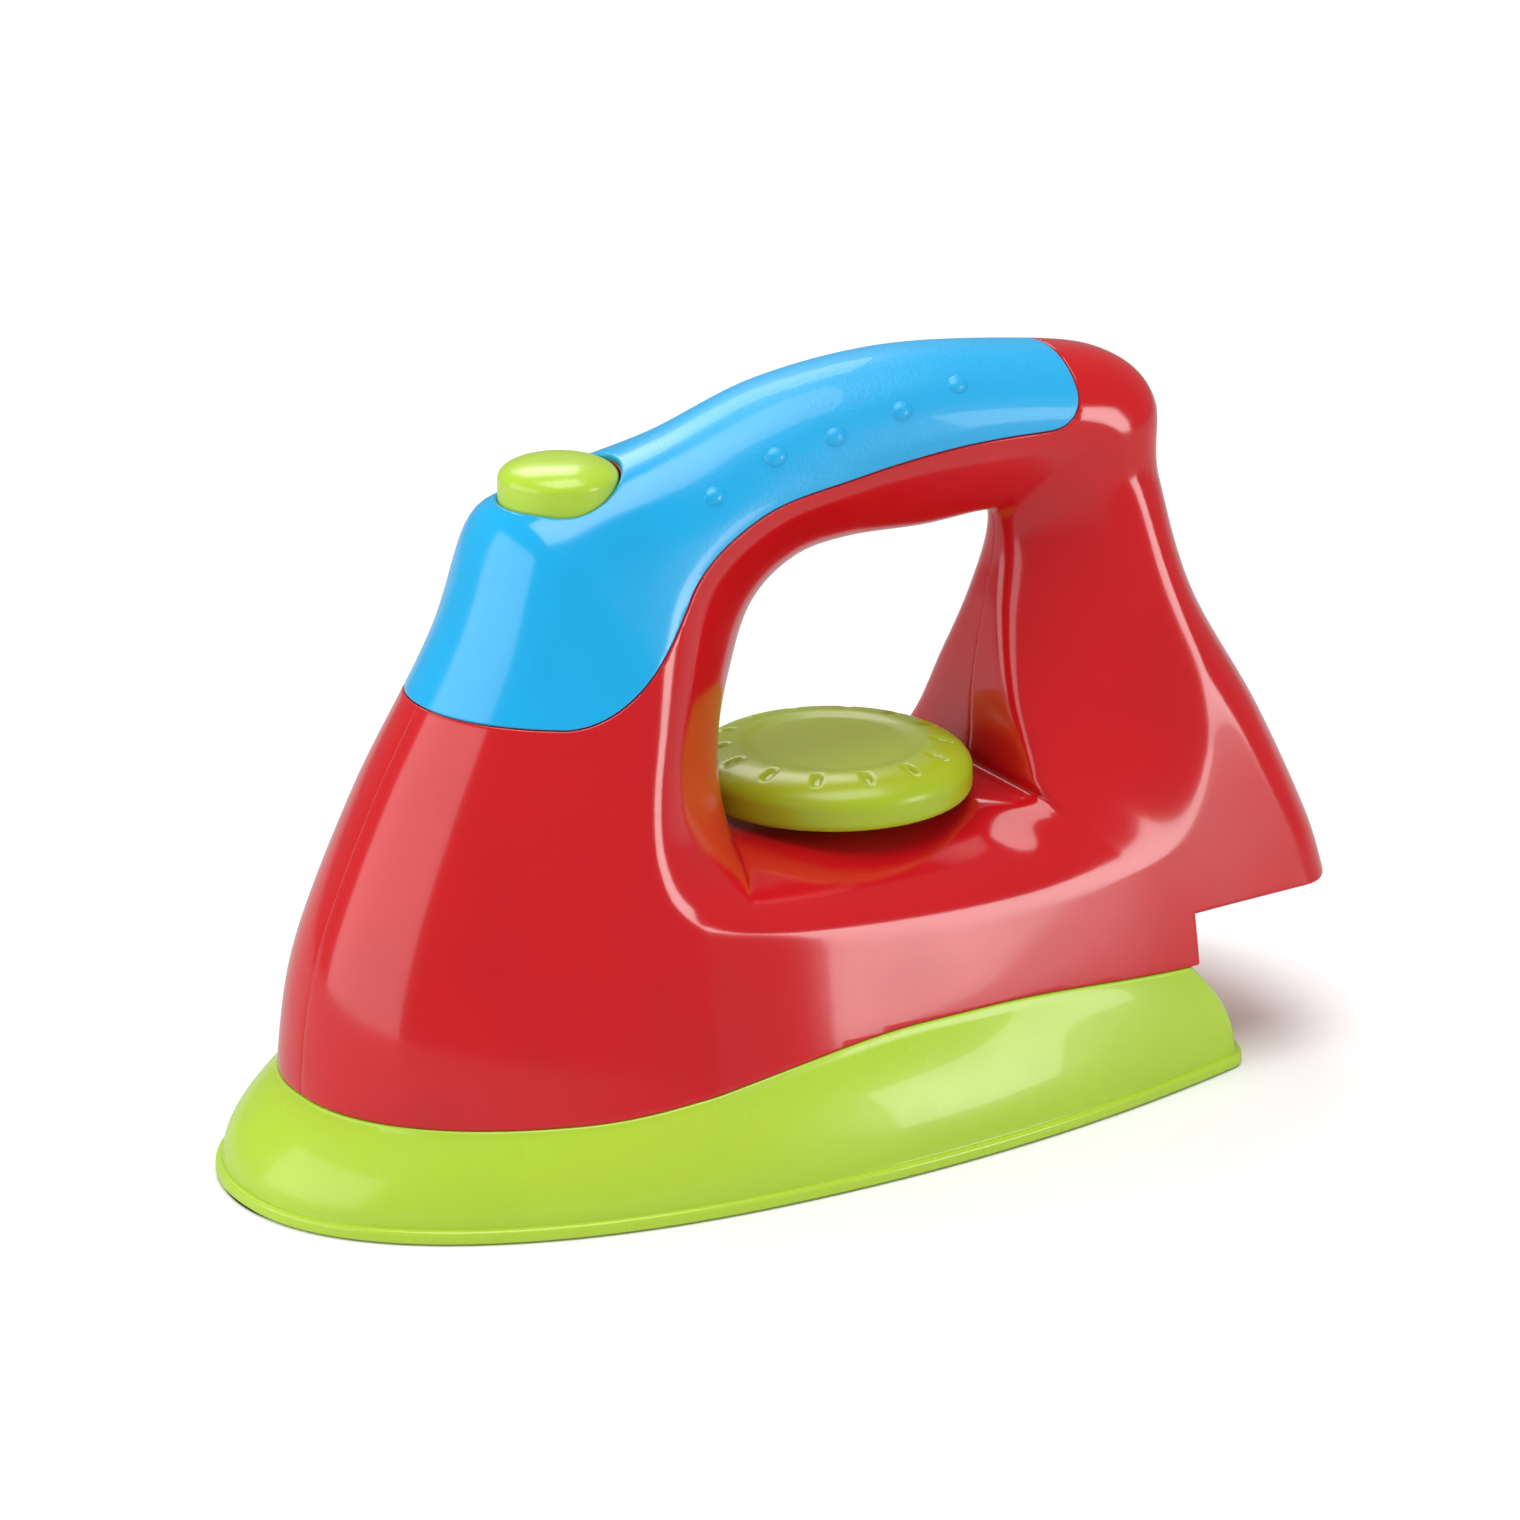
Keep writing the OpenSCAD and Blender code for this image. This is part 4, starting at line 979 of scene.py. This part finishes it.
@dataclass
class BodyShells(Part):
    """Two moulded halves round the finger window, with the recess for the cover."""

    parting_gap: float = 0.02
    parting_round: float = 0.12
    edge_round: float = 0.28
    hole_round: float = 0.2
    floor_round: float = 1.2
    skin_t: float = 1.8
    tube_t: float = 1.3
    below_seam: float = 3.0
    screws: tuple[Pair, ...] = ((0.175, 0.285), (0.262, 0.558), (0.432, 0.252),
                                (0.792, 0.270), (0.893, 0.492), (0.815, 0.892))
    rows: int = 330
    flare_steps: int = 28
    lip_steps: int = 10
    flank_steps: int = 44
    floor_steps: int = 8
    lip_share: float = 0.87
    lip_round: float = 4.2
    samples: int = 3601
    longest: float = 4.0
    evenness: float = 0.14
    heel_rows: Pair = (3, 9)
    stand_rows: Pair = (1.5, 5)
    hole_from: float = 0.75

    def angles(self) -> Array:
        """Angles round the window, closer where the heel turns sharply."""
        view, s = self.side_view, self.sizes
        heel = view.angle_to(view.outline[-1])
        fine = np.linspace(heel, heel + 360, self.samples)
        turn = np.radians(fine)
        reach = view.ray(view.outer, fine)[:, None]
        edge = view.centre + reach * np.stack([np.cos(turn), np.sin(turn)], 1)
        length = np.minimum(np.linalg.norm(np.diff(edge, axis=0), axis=1), self.longest)
        dense = np.ones(len(length))
        for x, (weight, width) in ((s.reach, self.heel_rows), (s.stand_l, self.stand_rows)):
            away = np.linalg.norm(edge[:-1] - [x, s.heel_z], axis=1)
            dense += weight * np.exp(-(away / width) ** 2)
        travel = np.concatenate([[0], np.cumsum(np.hypot(length, self.evenness) * dense)])
        spread = np.interp(np.linspace(0, travel[-1], self.rows + 1)[:-1], travel, fine)
        exact = [heel, 360 + view.angle_to(view.under[0]), 360 + view.angle_to(view.outline[-2])]
        return np.unique(np.round(np.concatenate([spread, np.array(exact)]), 6))

    def flank_grid(self, flank: Flank) -> Skin:
        """Lay one flank out from the window's waist to the parting line or the floor.

        Args:
            flank: Side of the iron.

        Returns:
            The skin of that side, without any cut.
        """
        view, s = self.side_view, self.sizes
        angles = self.angles()
        turn = np.radians(angles)
        d = np.stack([np.cos(turn), np.sin(turn)], 1)
        r0, r1, r2 = (view.ray(loop, angles)[:, None]
                      for loop in (view.waist, view.rim, view.outer))
        y1 = view.half_at(view.centre + r1 * d)[:, None]
        share = np.linspace(0, self.lip_share, self.flare_steps)[None, :]
        flare = view.flare(angles[:, None], share)
        inner_r, inner_y = r0 + (r1 - r0) * flare, y1 * share
        heel = view.angle_to(view.outline[-1])
        keel = 360 + view.angle_to(view.outline[0])
        on_floor = ((angles > keel + 1e-4) & (angles < 360 + heel - 1e-4))[:, None]
        start = r1 + self.lip_round
        swing = np.sin(np.linspace(0, math.pi / 2, self.flank_steps + 1))[None, :]
        flank_r = start + (r2 - start) * swing
        places = view.centre + flank_r[..., None] * d[:, None, :]
        flank_y = view.half_at(places.reshape(-1, 2)).reshape(flank_r.shape)
        flank_y[:, -1] = np.where(on_floor[:, 0], flank_y[:, -1], 0)
        near = np.clip((r2 - flank_r) / self.floor_round, 0, 1)
        radius = np.minimum(self.floor_round, flank_y)
        flank_y = flank_y - np.where(on_floor, radius * (1 - np.sqrt(1 - (1 - near) ** 2)), 0)
        t = np.linspace(0, 1, self.lip_steps)[None, 1:-1]
        lip_r, lip_y = ((1 - t) ** 2 * start_at + 2 * t * (1 - t) * corner + t * t * end_at
                        for start_at, corner, end_at in ((inner_r[:, -1:], r1, flank_r[:, :1]),
                                                         (inner_y[:, -1:], y1, flank_y[:, :1])))
        fall = np.linspace(1, 0, self.floor_steps)[None, 1:]
        floor_r = np.repeat(r2, fall.shape[1], 1)
        floor_y = flank_y[:, -1:] * fall
        r = np.concatenate([inner_r, lip_r, flank_r, floor_r], 1)
        y = np.concatenate([inner_y, lip_y, flank_y, floor_y], 1) * flank.value
        points = np.stack([view.centre[0] + r * d[:, :1], y, view.centre[1] + r * d[:, 1:]], -1)
        return Skin.grid(points, True, flank is Flank.RIGHT)

    def outside_cover(self, points: Array) -> Array:
        """Distance from the cover's edge in side view, positive outside it."""
        line = self.side_view.cover_line
        flat = points[:, [0, 2]]
        gap = gap_to_line(flat, line, True)
        return np.where(inside_line(flat, line), -gap, gap)

    def button_hole(self) -> RoundHole:
        """The button's hole in the nose."""
        s = self.sizes
        return RoundHole((s.button_x, 0.0), s.button_r + s.free_fit, 2,
                         start=self.hole_from * s.body_h)

    def dial_bore(self) -> RoundHole:
        """The dial's bore in the deck."""
        s = self.sizes
        return RoundHole((s.dial_x, 0.0), s.dial_stem_r + s.free_fit, 2, s.deck_z - s.dial_h,
                         s.deck_z + s.dial_h)

    def over_seam(self, points: Array) -> Array:
        """Height above the seam."""
        return points[:, 2] - self.side_view.seam_z(points[:, 0])

    def build(self, flank: Flank) -> None:
        """Build one half and let it stand for its CAD node.

        Args:
            flank: Side of the iron.
        """
        s = self.sizes
        skin = self.flank_grid(flank)
        skin.keep(self.over_seam, -self.below_seam)
        skin.cut(self.over_seam, s.seat_fit, self.edge_round)
        skin.step(self.outside_cover, COVER_GAP, s.cover_t, self.edge_round)
        skin.cut(self.button_hole().outside, 0.0, self.hole_round, 2)
        skin.cut(self.dial_bore().outside, 0.0, self.edge_round, 3)
        wells = []
        if flank is Flank.RIGHT:
            for x, z in self.screws:
                place = (x * s.reach, z * s.body_h)
                hole = RoundHole(place, s.hole_r, 1, start=s.screw_seat)
                skin.cut(hole.outside, 0.0, MOUTH_ROUND, 3)
                wells.append(self._well(place))
        skin.cut(lambda p: p[:, 1] * flank.value, self.parting_gap, self.parting_round, 3)
        side, form = flank.name.lower(), joined([skin.closed(self.skin_t), *wells])
        piece = self.make("body_shell_" + side, form, "body", Slot.RED)
        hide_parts("body_" + side)

    def _well(self, place: Pair) -> Form:
        """Tube inside the right half in which a screw's head lies.

        Args:
            place: Distance along the iron and height of the screw.

        Returns:
            Points and faces of the tube, whose mouth follows the flank.
        """
        s = self.sizes
        outer, low = s.hole_r + self.tube_t, s.screw_seat - 1.5
        profile = [(s.shaft_r, low), (outer, low), (outer, 0.0), (s.hole_r, 0.0),
                   (s.hole_r, s.screw_seat), (s.shaft_r, s.screw_seat)]
        points, faces = revolve(profile, place, tube=True)
        sides = len(points) // len(profile)
        ring = np.array(place) + s.hole_r * around_axis(sides)
        mouth = self.side_view.half_at(ring) - self.skin_t / 2
        points.reshape(len(profile), sides, 3)[2:4, :, 2] = mouth
        return points[:, [0, 2, 1]], [face[:1] + face[:0:-1] for face in faces]


@dataclass
class HandleCover(Part):
    """Blue cover over the nose's top and the handle, with its grip dots."""

    shells: BodyShells
    edge_round: float = 0.35
    hole_round: float = 0.5
    seat: float = 0.03
    merge: float = 1e-3
    dots: tuple[Pair, ...] = ((0.407, 0.874), (0.467, 0.912), (0.524, 0.929),
                              (0.591, 0.946), (0.649, 0.963))
    dot_r: float = 1.7
    dot_h: float = 0.75
    dot_rings: int = 5
    dot_sides: int = 20
    dot_long: float = 1.3
    dot_foot: float = 0.6
    dot_way: Triple = (1.0, 0.0, 0.25)

    def build(self) -> None:
        """Build the cover and its dots."""
        points, faces = joined([(half.points, half.faces.tolist())
                                for half in map(self.shells.flank_grid, (Flank.LEFT, Flank.RIGHT))])
        skin = Skin.merged(points, np.array(faces), self.merge)
        skin.keep(self.inside, -self.shells.below_seam)
        skin.cut(self.inside, COVER_GAP, self.edge_round)
        skin.cut(self.shells.button_hole().outside, 0.0, self.hole_round)
        form = skin.closed(self.sizes.cover_t - self.seat)
        piece = self.make("handle_cover_shell", form, "body", Slot.BLUE)
        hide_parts("handle_cover")
        self._dots(skin)

    def inside(self, points: Array) -> Array:
        """Distance from the cover's edge in side view, positive inside it."""
        return -self.shells.outside_cover(points)

    def _dots(self, skin: Skin) -> None:
        """Raise a row of grip dots on both sides of the handle.

        Args:
            skin: The cover's outer skin, which gives the dots their lie.
        """
        s = self.sizes
        dots = []
        for x, z in self.dots:
            for side in Flank:
                near = np.where(skin.points[:, 1] * side.value > 0, 0, FAR)
                away = np.linalg.norm(skin.points[:, [0, 2]] - [x * s.reach, z * s.body_h], axis=1)
                best = np.argmin(away + near)
                dots.append(self._dot(skin.points[best], skin.normals[best]))
        self.make("grip_dots", joined(dots), "body", Slot.BLUE)

    def _dot(self, place: Array, up: Array) -> Form:
        """Build one long dome with a point below it.

        Args:
            place: Middle of the dome's foot.
            up: Direction of its top.

        Returns:
            Points and faces of the dot.
        """
        along = np.cross(np.cross(up, self.dot_way), up)
        along /= np.linalg.norm(along)
        across, turn, n = np.cross(up, along), around_axis(self.dot_sides), self.dot_sides
        ring = self.dot_r * (self.dot_long * turn[:, :1] * along + turn[:, 1:] * across)
        foot, rows = self.dot_foot, [(place + up * self.dot_h)[None]]
        for a in np.linspace(0, math.pi / 2, self.dot_rings + 1)[1:]:
            rise = self.dot_h * ((1 + foot) * math.cos(a) - foot)
            rows.append(place + math.sin(a) * ring + up * rise)
        rows.append((place - up * foot * self.dot_h)[None])
        last, faces = 1 + self.dot_rings * n, []
        for j in range(n):
            m = (j + 1) % n
            faces.append([0, 1 + j, 1 + m])
            faces += [[a + j, a + n + j, a + n + m, a + m] for a in range(1, last - n, n)]
            faces.append([last - n + j, last, last - n + m])
        return np.concatenate(rows), faces


@dataclass
class SoleSkirt(Part):
    """Lime skirt with the sole, the thin lip and the wells of the sole screws."""

    steps: int = 170
    widest: float = 0.48
    bulge_angle: float = 78.0
    screws: tuple[Pair, ...] = ((0.24, 0.66), (0.70, 0.62))
    seat_z: float = 10.2
    seat_t: float = 1.4
    tube_t: float = 1.2
    lip_low_round: float = 0.5
    lip_top_round: float = 0.7
    rim_round: float = 0.45
    rim_w: float = 2.4
    rim_fall: float = 2.0
    tail_in: float = 0.34
    under_rings: int = 12
    under_edge: float = 1.4
    wall_steps: int = 18
    low_in: float = 4.0
    floor_in: float = 5.0
    floor_rings: int = 6

    def sole_half(self, t: Array) -> Array:
        """Half width of the sole at a share of its length."""
        s = self.sizes
        tail = self.tail_in * (np.maximum(0, t - self.widest) / (1 - self.widest)) ** 2
        corner = np.maximum(0, 1 - (1 - t) * s.sole_l / s.sole_corner)
        return (s.sole_w / 2 * (swell(np.minimum(1, t / self.widest)) - tail)
                * (1 - corner**3) ** (1 / 3))

    def ledge(self, t: Array) -> Array:
        """Closed line of the skirt's upper edge, a ledge's width outside the body."""
        s = self.sizes
        nose = s.reach * self.side_view.NOSE
        x = nose + (s.stand_l - nose) * t
        corner = np.maximum(0, 1 - (s.stand_l - x) / (s.sole_corner / 2))
        half = self.side_view.half_at(np.stack([x, self.side_view.seam_z(x)], 1))
        body = self.both_sides(np.stack([x, half * (1 - corner**3) ** (1 / 3)], 1))
        return body + self.outward(body) * s.seam_ledge

    @staticmethod
    def both_sides(line: Array) -> Array:
        """Close a half outline with its mirror image."""
        return np.concatenate([line, line[-2:0:-1] * [1, -1]])

    @staticmethod
    def outward(line: Array) -> Array:
        """Outward direction at each point of a closed outline."""
        span = np.roll(line, -1, axis=0) - np.roll(line, 1, axis=0)
        span /= np.maximum(np.linalg.norm(span, axis=1), 1e-9)[:, None]
        return np.stack([-span[:, 1], span[:, 0]], 1)

    def build(self) -> None:
        """Build the skirt and let it stand for its CAD node."""
        s = self.sizes
        t = (1 - np.cos(np.linspace(0, math.pi, self.steps + 1))) / 2
        sole = self.both_sides(np.stack([t * s.sole_l, self.sole_half(t)], 1))
        ledge = self.ledge(t)
        out, up = self.outward(sole), self.outward(ledge)
        top = self.side_view.seam_z(ledge[:, 0])

        def row(flat: Array, z: Array | float) -> Array:
            """Lift an outline to a height."""
            heights = np.broadcast_to(np.asarray(z, float), (len(flat),))
            return np.concatenate([flat, heights[:, None]], 1)

        cols = [row(sole * [1, k], 0.0) for k in np.linspace(0, 1, self.under_rings)[:-1]]
        cols[-1] = row(sole - out * self.under_edge, 0.0)
        r = self.lip_low_round
        for a in np.radians(np.arange(0, 91, 18)):
            cols.append(row(sole - out * r * (1 - math.sin(a)), r * (1 - math.cos(a))))
        r = self.lip_top_round
        for a in np.radians(np.arange(0, 91, 15)):
            cols.append(row(sole - out * r * (1 - math.cos(a)), s.lip_h - r * (1 - math.sin(a))))
        low = sole - out * s.lip_step
        base = s.lip_h + 0.3 * s.lip_step
        cols.append(row(low + out * 0.1, s.lip_h + 0.04))
        last, r = math.radians(self.bulge_angle), self.rim_round
        for k in np.linspace(0, 1, self.wall_steps):
            bulge = (1 - math.cos(last * k)) / (1 - math.cos(last))
            cols.append(row(low + (ledge - up * r - low) * bulge, base + (top - r - base) * k))
        for a in np.radians(np.arange(15, 91, 15)):
            cols.append(row(ledge - up * (r + r * (1 - math.cos(a))), top - r * (1 - math.sin(a))))
        cols.append(row(ledge - up * self.rim_w, top))
        cols.append(row(ledge - up * (self.rim_w + 0.2), top - self.rim_fall))
        cols.append(row(low - out * self.low_in, s.floor_t))
        cols += [row((sole - out * self.floor_in) * [1, k], s.floor_t)
                 for k in np.linspace(1, 0, self.floor_rings)]
        skin = Skin.grid(np.stack(cols, 1), True, False)
        upper, outer = self.seat_z + self.seat_t, s.hole_r + self.tube_t
        profile = [(s.shaft_r, upper), (outer, upper), (outer, MOUTH_ROUND),
                   (s.hole_r, MOUTH_ROUND), (s.hole_r, self.seat_z), (s.shaft_r, self.seat_z)]
        wells = []
        for x, y in self.screws:
            for side in Flank:
                place = (x * s.reach, side.value * y * s.half_w)
                skin.cut(RoundHole(place, s.hole_r, 2, end=0.5).outside, 0.0, MOUTH_ROUND, 3)
                wells.append(revolve(profile, place, tube=True))
        form = joined([(skin.points, skin.faces.tolist()), *wells])
        piece = self.make("sole_skirt", form, "body", Slot.LIME)
        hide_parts("sole_base")


@dataclass
class SteamButton(Part):
    """Domed button that is pressed into the nose."""

    flange_drop: float = 9.0
    flange_t: float = 1.6
    flange_r: float = 10.7
    stem_r: float = 2.4
    stem_z: float = 82.85
    crown: float = 3.3
    cap_t: float = 1.8
    dome_power: float = 0.8
    sides: int = 96

    @property
    def over(self) -> float:
        """Height of the nose's top line at the button's axis."""
        top_line = self.side_view.outline
        return float(np.interp(self.sizes.button_x, top_line[:, 0], top_line[:, 1]))

    @property
    def flange_z(self) -> float:
        """Height of the flange's lower face."""
        return self.over - self.flange_drop

    def build(self) -> None:
        """Build the button and let it stand for its CAD node."""
        s = self.sizes
        low, high = self.flange_z, self.flange_z + self.flange_t
        edge = self.over + s.button_proud - self.crown
        under, inner = edge - self.cap_t, s.button_r - self.cap_t
        line = rounded([(AXIS_R, self.stem_z, 0), (self.stem_r, self.stem_z, 0.4),
                        (self.stem_r, under, 0.5), (inner, under, 0.3), (inner, low, 0.1),
                        (self.flange_r, low, 0.2), (self.flange_r, high, 0.2),
                        (s.button_r, high, 0.3), (s.button_r, edge, 0)])[:-1]
        for a in np.radians(np.arange(0, 90, 4)):
            r = s.button_r * math.cos(a) ** self.dome_power
            line.append((r, edge + self.crown * math.sin(a)))
        line.append((AXIS_R, edge + self.crown))
        form = revolve(line, (s.button_x, 0.0), self.sides)
        piece = self.make("steam_button", form, "button", Slot.LIME)
        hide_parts("spray_button")


@dataclass
class ButtonCoil(Part):
    """Coil spring under the button, which shortens as the button goes down."""

    flange_z: float
    low: float = 89.45
    coil_r: float = 8.9
    wire_r: float = 0.35
    play: float = 0.03
    turns: int = 6
    steps: int = 40
    sides: int = 10
    travel: float = 2.8

    def build(self) -> None:
        """Build the coil and let it stand for its CAD node."""
        axis_x, r = self.sizes.button_x, self.wire_r
        low, high = self.low + self.play + r, self.flange_z - self.play - r
        along = np.linspace(0, 1, self.turns * self.steps + 1)[:, None]
        around = np.arange(self.sides) / self.sides * 2 * math.pi
        turn = along * self.turns * 2 * math.pi
        out = self.coil_r + r * np.cos(around)
        up = low + (high - low) * along + r * np.sin(around)
        points = np.stack([axis_x + out * np.cos(turn), out * np.sin(turn), up], -1).reshape(-1, 3)
        n, last = self.sides, len(points) - self.sides
        faces = [[i + j, i + n + j, i + n + (j + 1) % n, i + (j + 1) % n]
                 for i in range(0, last, n) for j in range(n)]
        faces += [list(range(n)), list(range(last, last + n))[::-1]]
        piece = self.make("button_coil", (points, faces), "body", Slot.STEEL)
        share = 1 - self.travel / (self.flange_z - self.low)
        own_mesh(piece)
        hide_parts("button_spring")


@dataclass
class TemperatureDial(Part):
    """Round dial on the deck, with notches round its shoulder."""

    stem_drop: float = 9.2
    hollow: float = 3.0
    shoulder_share: float = 0.33
    drop_share: float = 0.55
    dish: float = 0.5
    notches: int = 14
    notch_depth: float = 0.7
    notch_w: float = 0.75
    notch_l: float = 1.7
    notch_at: float = 0.62
    dish_rings: int = 16
    dish_rise: float = 6
    sides: int = 280

    def build(self) -> None:
        """Build the dial and let it stand for its CAD node."""
        s = self.sizes
        r, z = s.dial_d / 2, s.deck_z + s.dial_lift
        top, shoulder, drop = z + s.dial_h, r * self.shoulder_share, s.dial_h * self.drop_share
        low, hollow, stem = z - self.stem_drop, z + self.hollow, s.dial_stem_r
        line = rounded([(AXIS_R, low, 0), (stem, low, 0.2), (stem, hollow, 0.8),
                        (r - 2.2, hollow, 0.8), (r - 1.8, z, 0.4), (r - 0.5, z, 0.5),
                        (r, z + 0.9, 0.6), (r, top - drop, 0)])[:-1]
        for a in np.radians(np.arange(0, 90, 3)):
            line.append((r - shoulder + shoulder * math.cos(a), top - drop + drop * math.sin(a)))
        flat = r - shoulder
        for k in np.linspace(1, AXIS_R, self.dish_rings):
            sunk = float(smooth_step(np.array((1 - k) * self.dish_rise)))
            line.append((flat * k, top - self.dish * sunk))
        points, faces = revolve(line, (s.dial_x, 0.0), self.sides)
        flat_xy = points[:, :2] - [s.dial_x, 0.0]
        out = np.hypot(flat_xy[:, 0], flat_xy[:, 1])
        turn = np.arctan2(flat_xy[:, 1], flat_xy[:, 0])
        pitch = 2 * math.pi / self.notches
        aside = (np.mod(turn + pitch / 2, pitch) - pitch / 2) * out
        middle = r - shoulder * self.notch_at
        sink = np.exp(-(aside / self.notch_w) ** 4) * np.exp(-((out - middle) / self.notch_l) ** 4)
        points[:, 2] -= np.where(points[:, 2] > top - drop, self.notch_depth * sink, 0)
        piece = self.make("temperature_dial", (points, faces), "dial", Slot.LIME)
        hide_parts("dial_knob")


@dataclass
class Mechanism:
    """Hidden guide, click spring and wheel, washer and screws, kept as their CAD nodes."""

    plastic: bpy.types.Material
    steel: bpy.types.Material
    plastic_nodes: tuple[str, ...] = ("button_guide", "click_wheel")

    def dress(self) -> None:
        """Give each CAD node that stays its finish."""
        for name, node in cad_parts.items():
            if node.hide_render:
                continue
            finish = self.plastic if name in self.plastic_nodes else self.steel
            if not node.material_slots:
                node.data.materials.append(finish)
            for held in node.material_slots:
                held.material = finish
            LOG.info("%s: CAD node dressed in %s", name, finish.name)


def point_at(thing: bpy.types.Object, place: Triple,
             aim: Triple) -> None:
    """Put a lamp or a camera at a place, turn it to its aim and show it.

    Args:
        thing: The lamp or camera.
        place: Where it stands, in metres.
        aim: What it looks at, in metres.
    """
    thing.location = place
    way = Vector(aim) - Vector(place)
    thing.rotation_euler = way.to_track_quat("-Z", "Y").to_euler()
    bpy.context.scene.collection.objects.link(thing)


@dataclass(frozen=True)
class Lamp:
    """Softbox in the studio, in metres and watts."""

    name: str
    place: Triple
    aim: Triple
    size: Pair
    power: float

    def hang(self) -> None:
        """Add the lamp to the scene."""
        data = bpy.data.lights.new(self.name, "AREA")
        data.shape = "RECTANGLE"
        data.size, data.size_y = self.size
        data.energy = self.power
        point_at(bpy.data.objects.new(self.name, data), self.place, self.aim)


@dataclass
class Studio:
    """Pale floor, soft lamps, white surroundings and the camera."""

    camera_place: Triple = (-0.6429, -1.0734, 0.4939)
    camera_aim: Triple = (-0.002, 0.0, 0.0585)
    lens: float = 190.0
    floor_size: float = 8.0
    floor_drop: float = 0.0002
    floor_tone: float = 0.93
    floor_glossy: float = 0.45
    white_from: float = 0.45
    white_to: float = 1.8
    air: float = 0.46
    air_glossy: float = 0.24
    lamps: tuple[Lamp, ...] = (
        Lamp("overhead", (0.0, -0.15, 1.25), (0.0, 0.0, 0.05), (0.9, 0.9), 10.0),
        Lamp("nose_box", (-1.0, 0.16, 0.36), (0.0, 0.0, 0.06), (1.3, 0.8), 6.4),
        Lamp("flank_box", (0.84, -0.98, 0.26), (0.05, 0.0, 0.05), (0.34, 0.5), 3.6),
        Lamp("back_fill", (0.3, 1.0, 1.1), (0.0, 0.0, 0.06), (0.8, 0.6), 6.0))

    def build(self) -> None:
        """Build everything round the object."""
        scene = bpy.context.scene
        scene.view_settings.view_transform = "Standard"
        self._floor()
        self._world(scene)
        for lamp in self.lamps:
            lamp.hang()
        data = bpy.data.cameras.new("camera")
        data.lens = self.lens
        data.sensor_width = 36.0
        data.clip_start = 0.05
        camera = bpy.data.objects.new("camera", data)
        point_at(camera, self.camera_place, self.camera_aim)
        scene.camera = camera

    def _floor(self) -> None:
        """Lay the pale floor, which turns white to the camera far from the object."""
        half = self.floor_size / 2
        mesh = bpy.data.meshes.new("floor")
        corners = [(-half, -half, 0), (half, -half, 0), (half, half, 0), (-half, half, 0)]
        mesh.from_pydata(corners, [], [(0, 1, 2, 3)])
        floor = bpy.data.objects.new("floor", mesh)
        floor.location.z = -self.floor_drop
        finish, shader, nodes = new_material("pale_floor")
        path = nodes.add("LightPath", {})
        away = nodes.tree.nodes.new("ShaderNodeVectorMath")
        away.operation = "LENGTH"
        nodes.feed(away, {0: nodes.place()})
        far = nodes.ramp(away.outputs["Value"], self.white_from, self.white_to)
        near, mirrored = ((tone, tone, tone, 1) for tone in (self.floor_tone, self.floor_glossy))
        nodes.feed(shader, {
            "Base Color": nodes.mix("RGBA", path.outputs["Is Glossy Ray"], near, mirrored),
            "Emission Strength": nodes.product(far, path.outputs["Is Camera Ray"]),
            "Emission Color": (1, 1, 1, 1), "Roughness": 0.7, "Specular IOR Level": 0.2})
        mesh.materials.append(finish)
        bpy.context.scene.collection.objects.link(floor)

    def _world(self, scene: bpy.types.Scene) -> None:
        """Light softly from all round, and show white to the camera.

        Args:
            scene: The scene that gets the world.
        """
        world = bpy.data.worlds.new("studio")
        scene.world = world
        world.use_nodes = True
        nodes = Nodes(world.node_tree)
        path = nodes.add("LightPath", {})
        light = nodes.mix("FLOAT", path.outputs["Is Glossy Ray"], self.air, self.air_glossy)
        seen = nodes.mix("FLOAT", path.outputs["Is Camera Ray"], light, 1.0)
        nodes.feed(world.node_tree.nodes["Background"], {"Color": (1, 1, 1, 1), "Strength": seen})


def main() -> None:
    """Build the toy iron and its studio."""
    logging.basicConfig(level=logging.INFO, format="%(name)s %(message)s")
    effects = Effects()
    red, blue, lime, white, steel = (made.material(effects)
                                     for made in (RED, BLUE, LIME, WHITE, STEEL))
    sizes = BodySizes()
    side_view, workshop = SideView(sizes), Workshop(sizes)
    shells = BodyShells(side_view, workshop, red)
    shells.build(Flank.LEFT)
    shells.build(Flank.RIGHT)
    HandleCover(side_view, workshop, blue, shells).build()
    SoleSkirt(side_view, workshop, lime).build()
    button = SteamButton(side_view, workshop, lime)
    button.build()
    ButtonCoil(side_view, workshop, steel, button.flange_z).build()
    TemperatureDial(side_view, workshop, DIAL_SHADED_LIME.material(effects)).build()
    Mechanism(white, steel).dress()
    Studio().build()


if __name__ == "__main__":
    main()
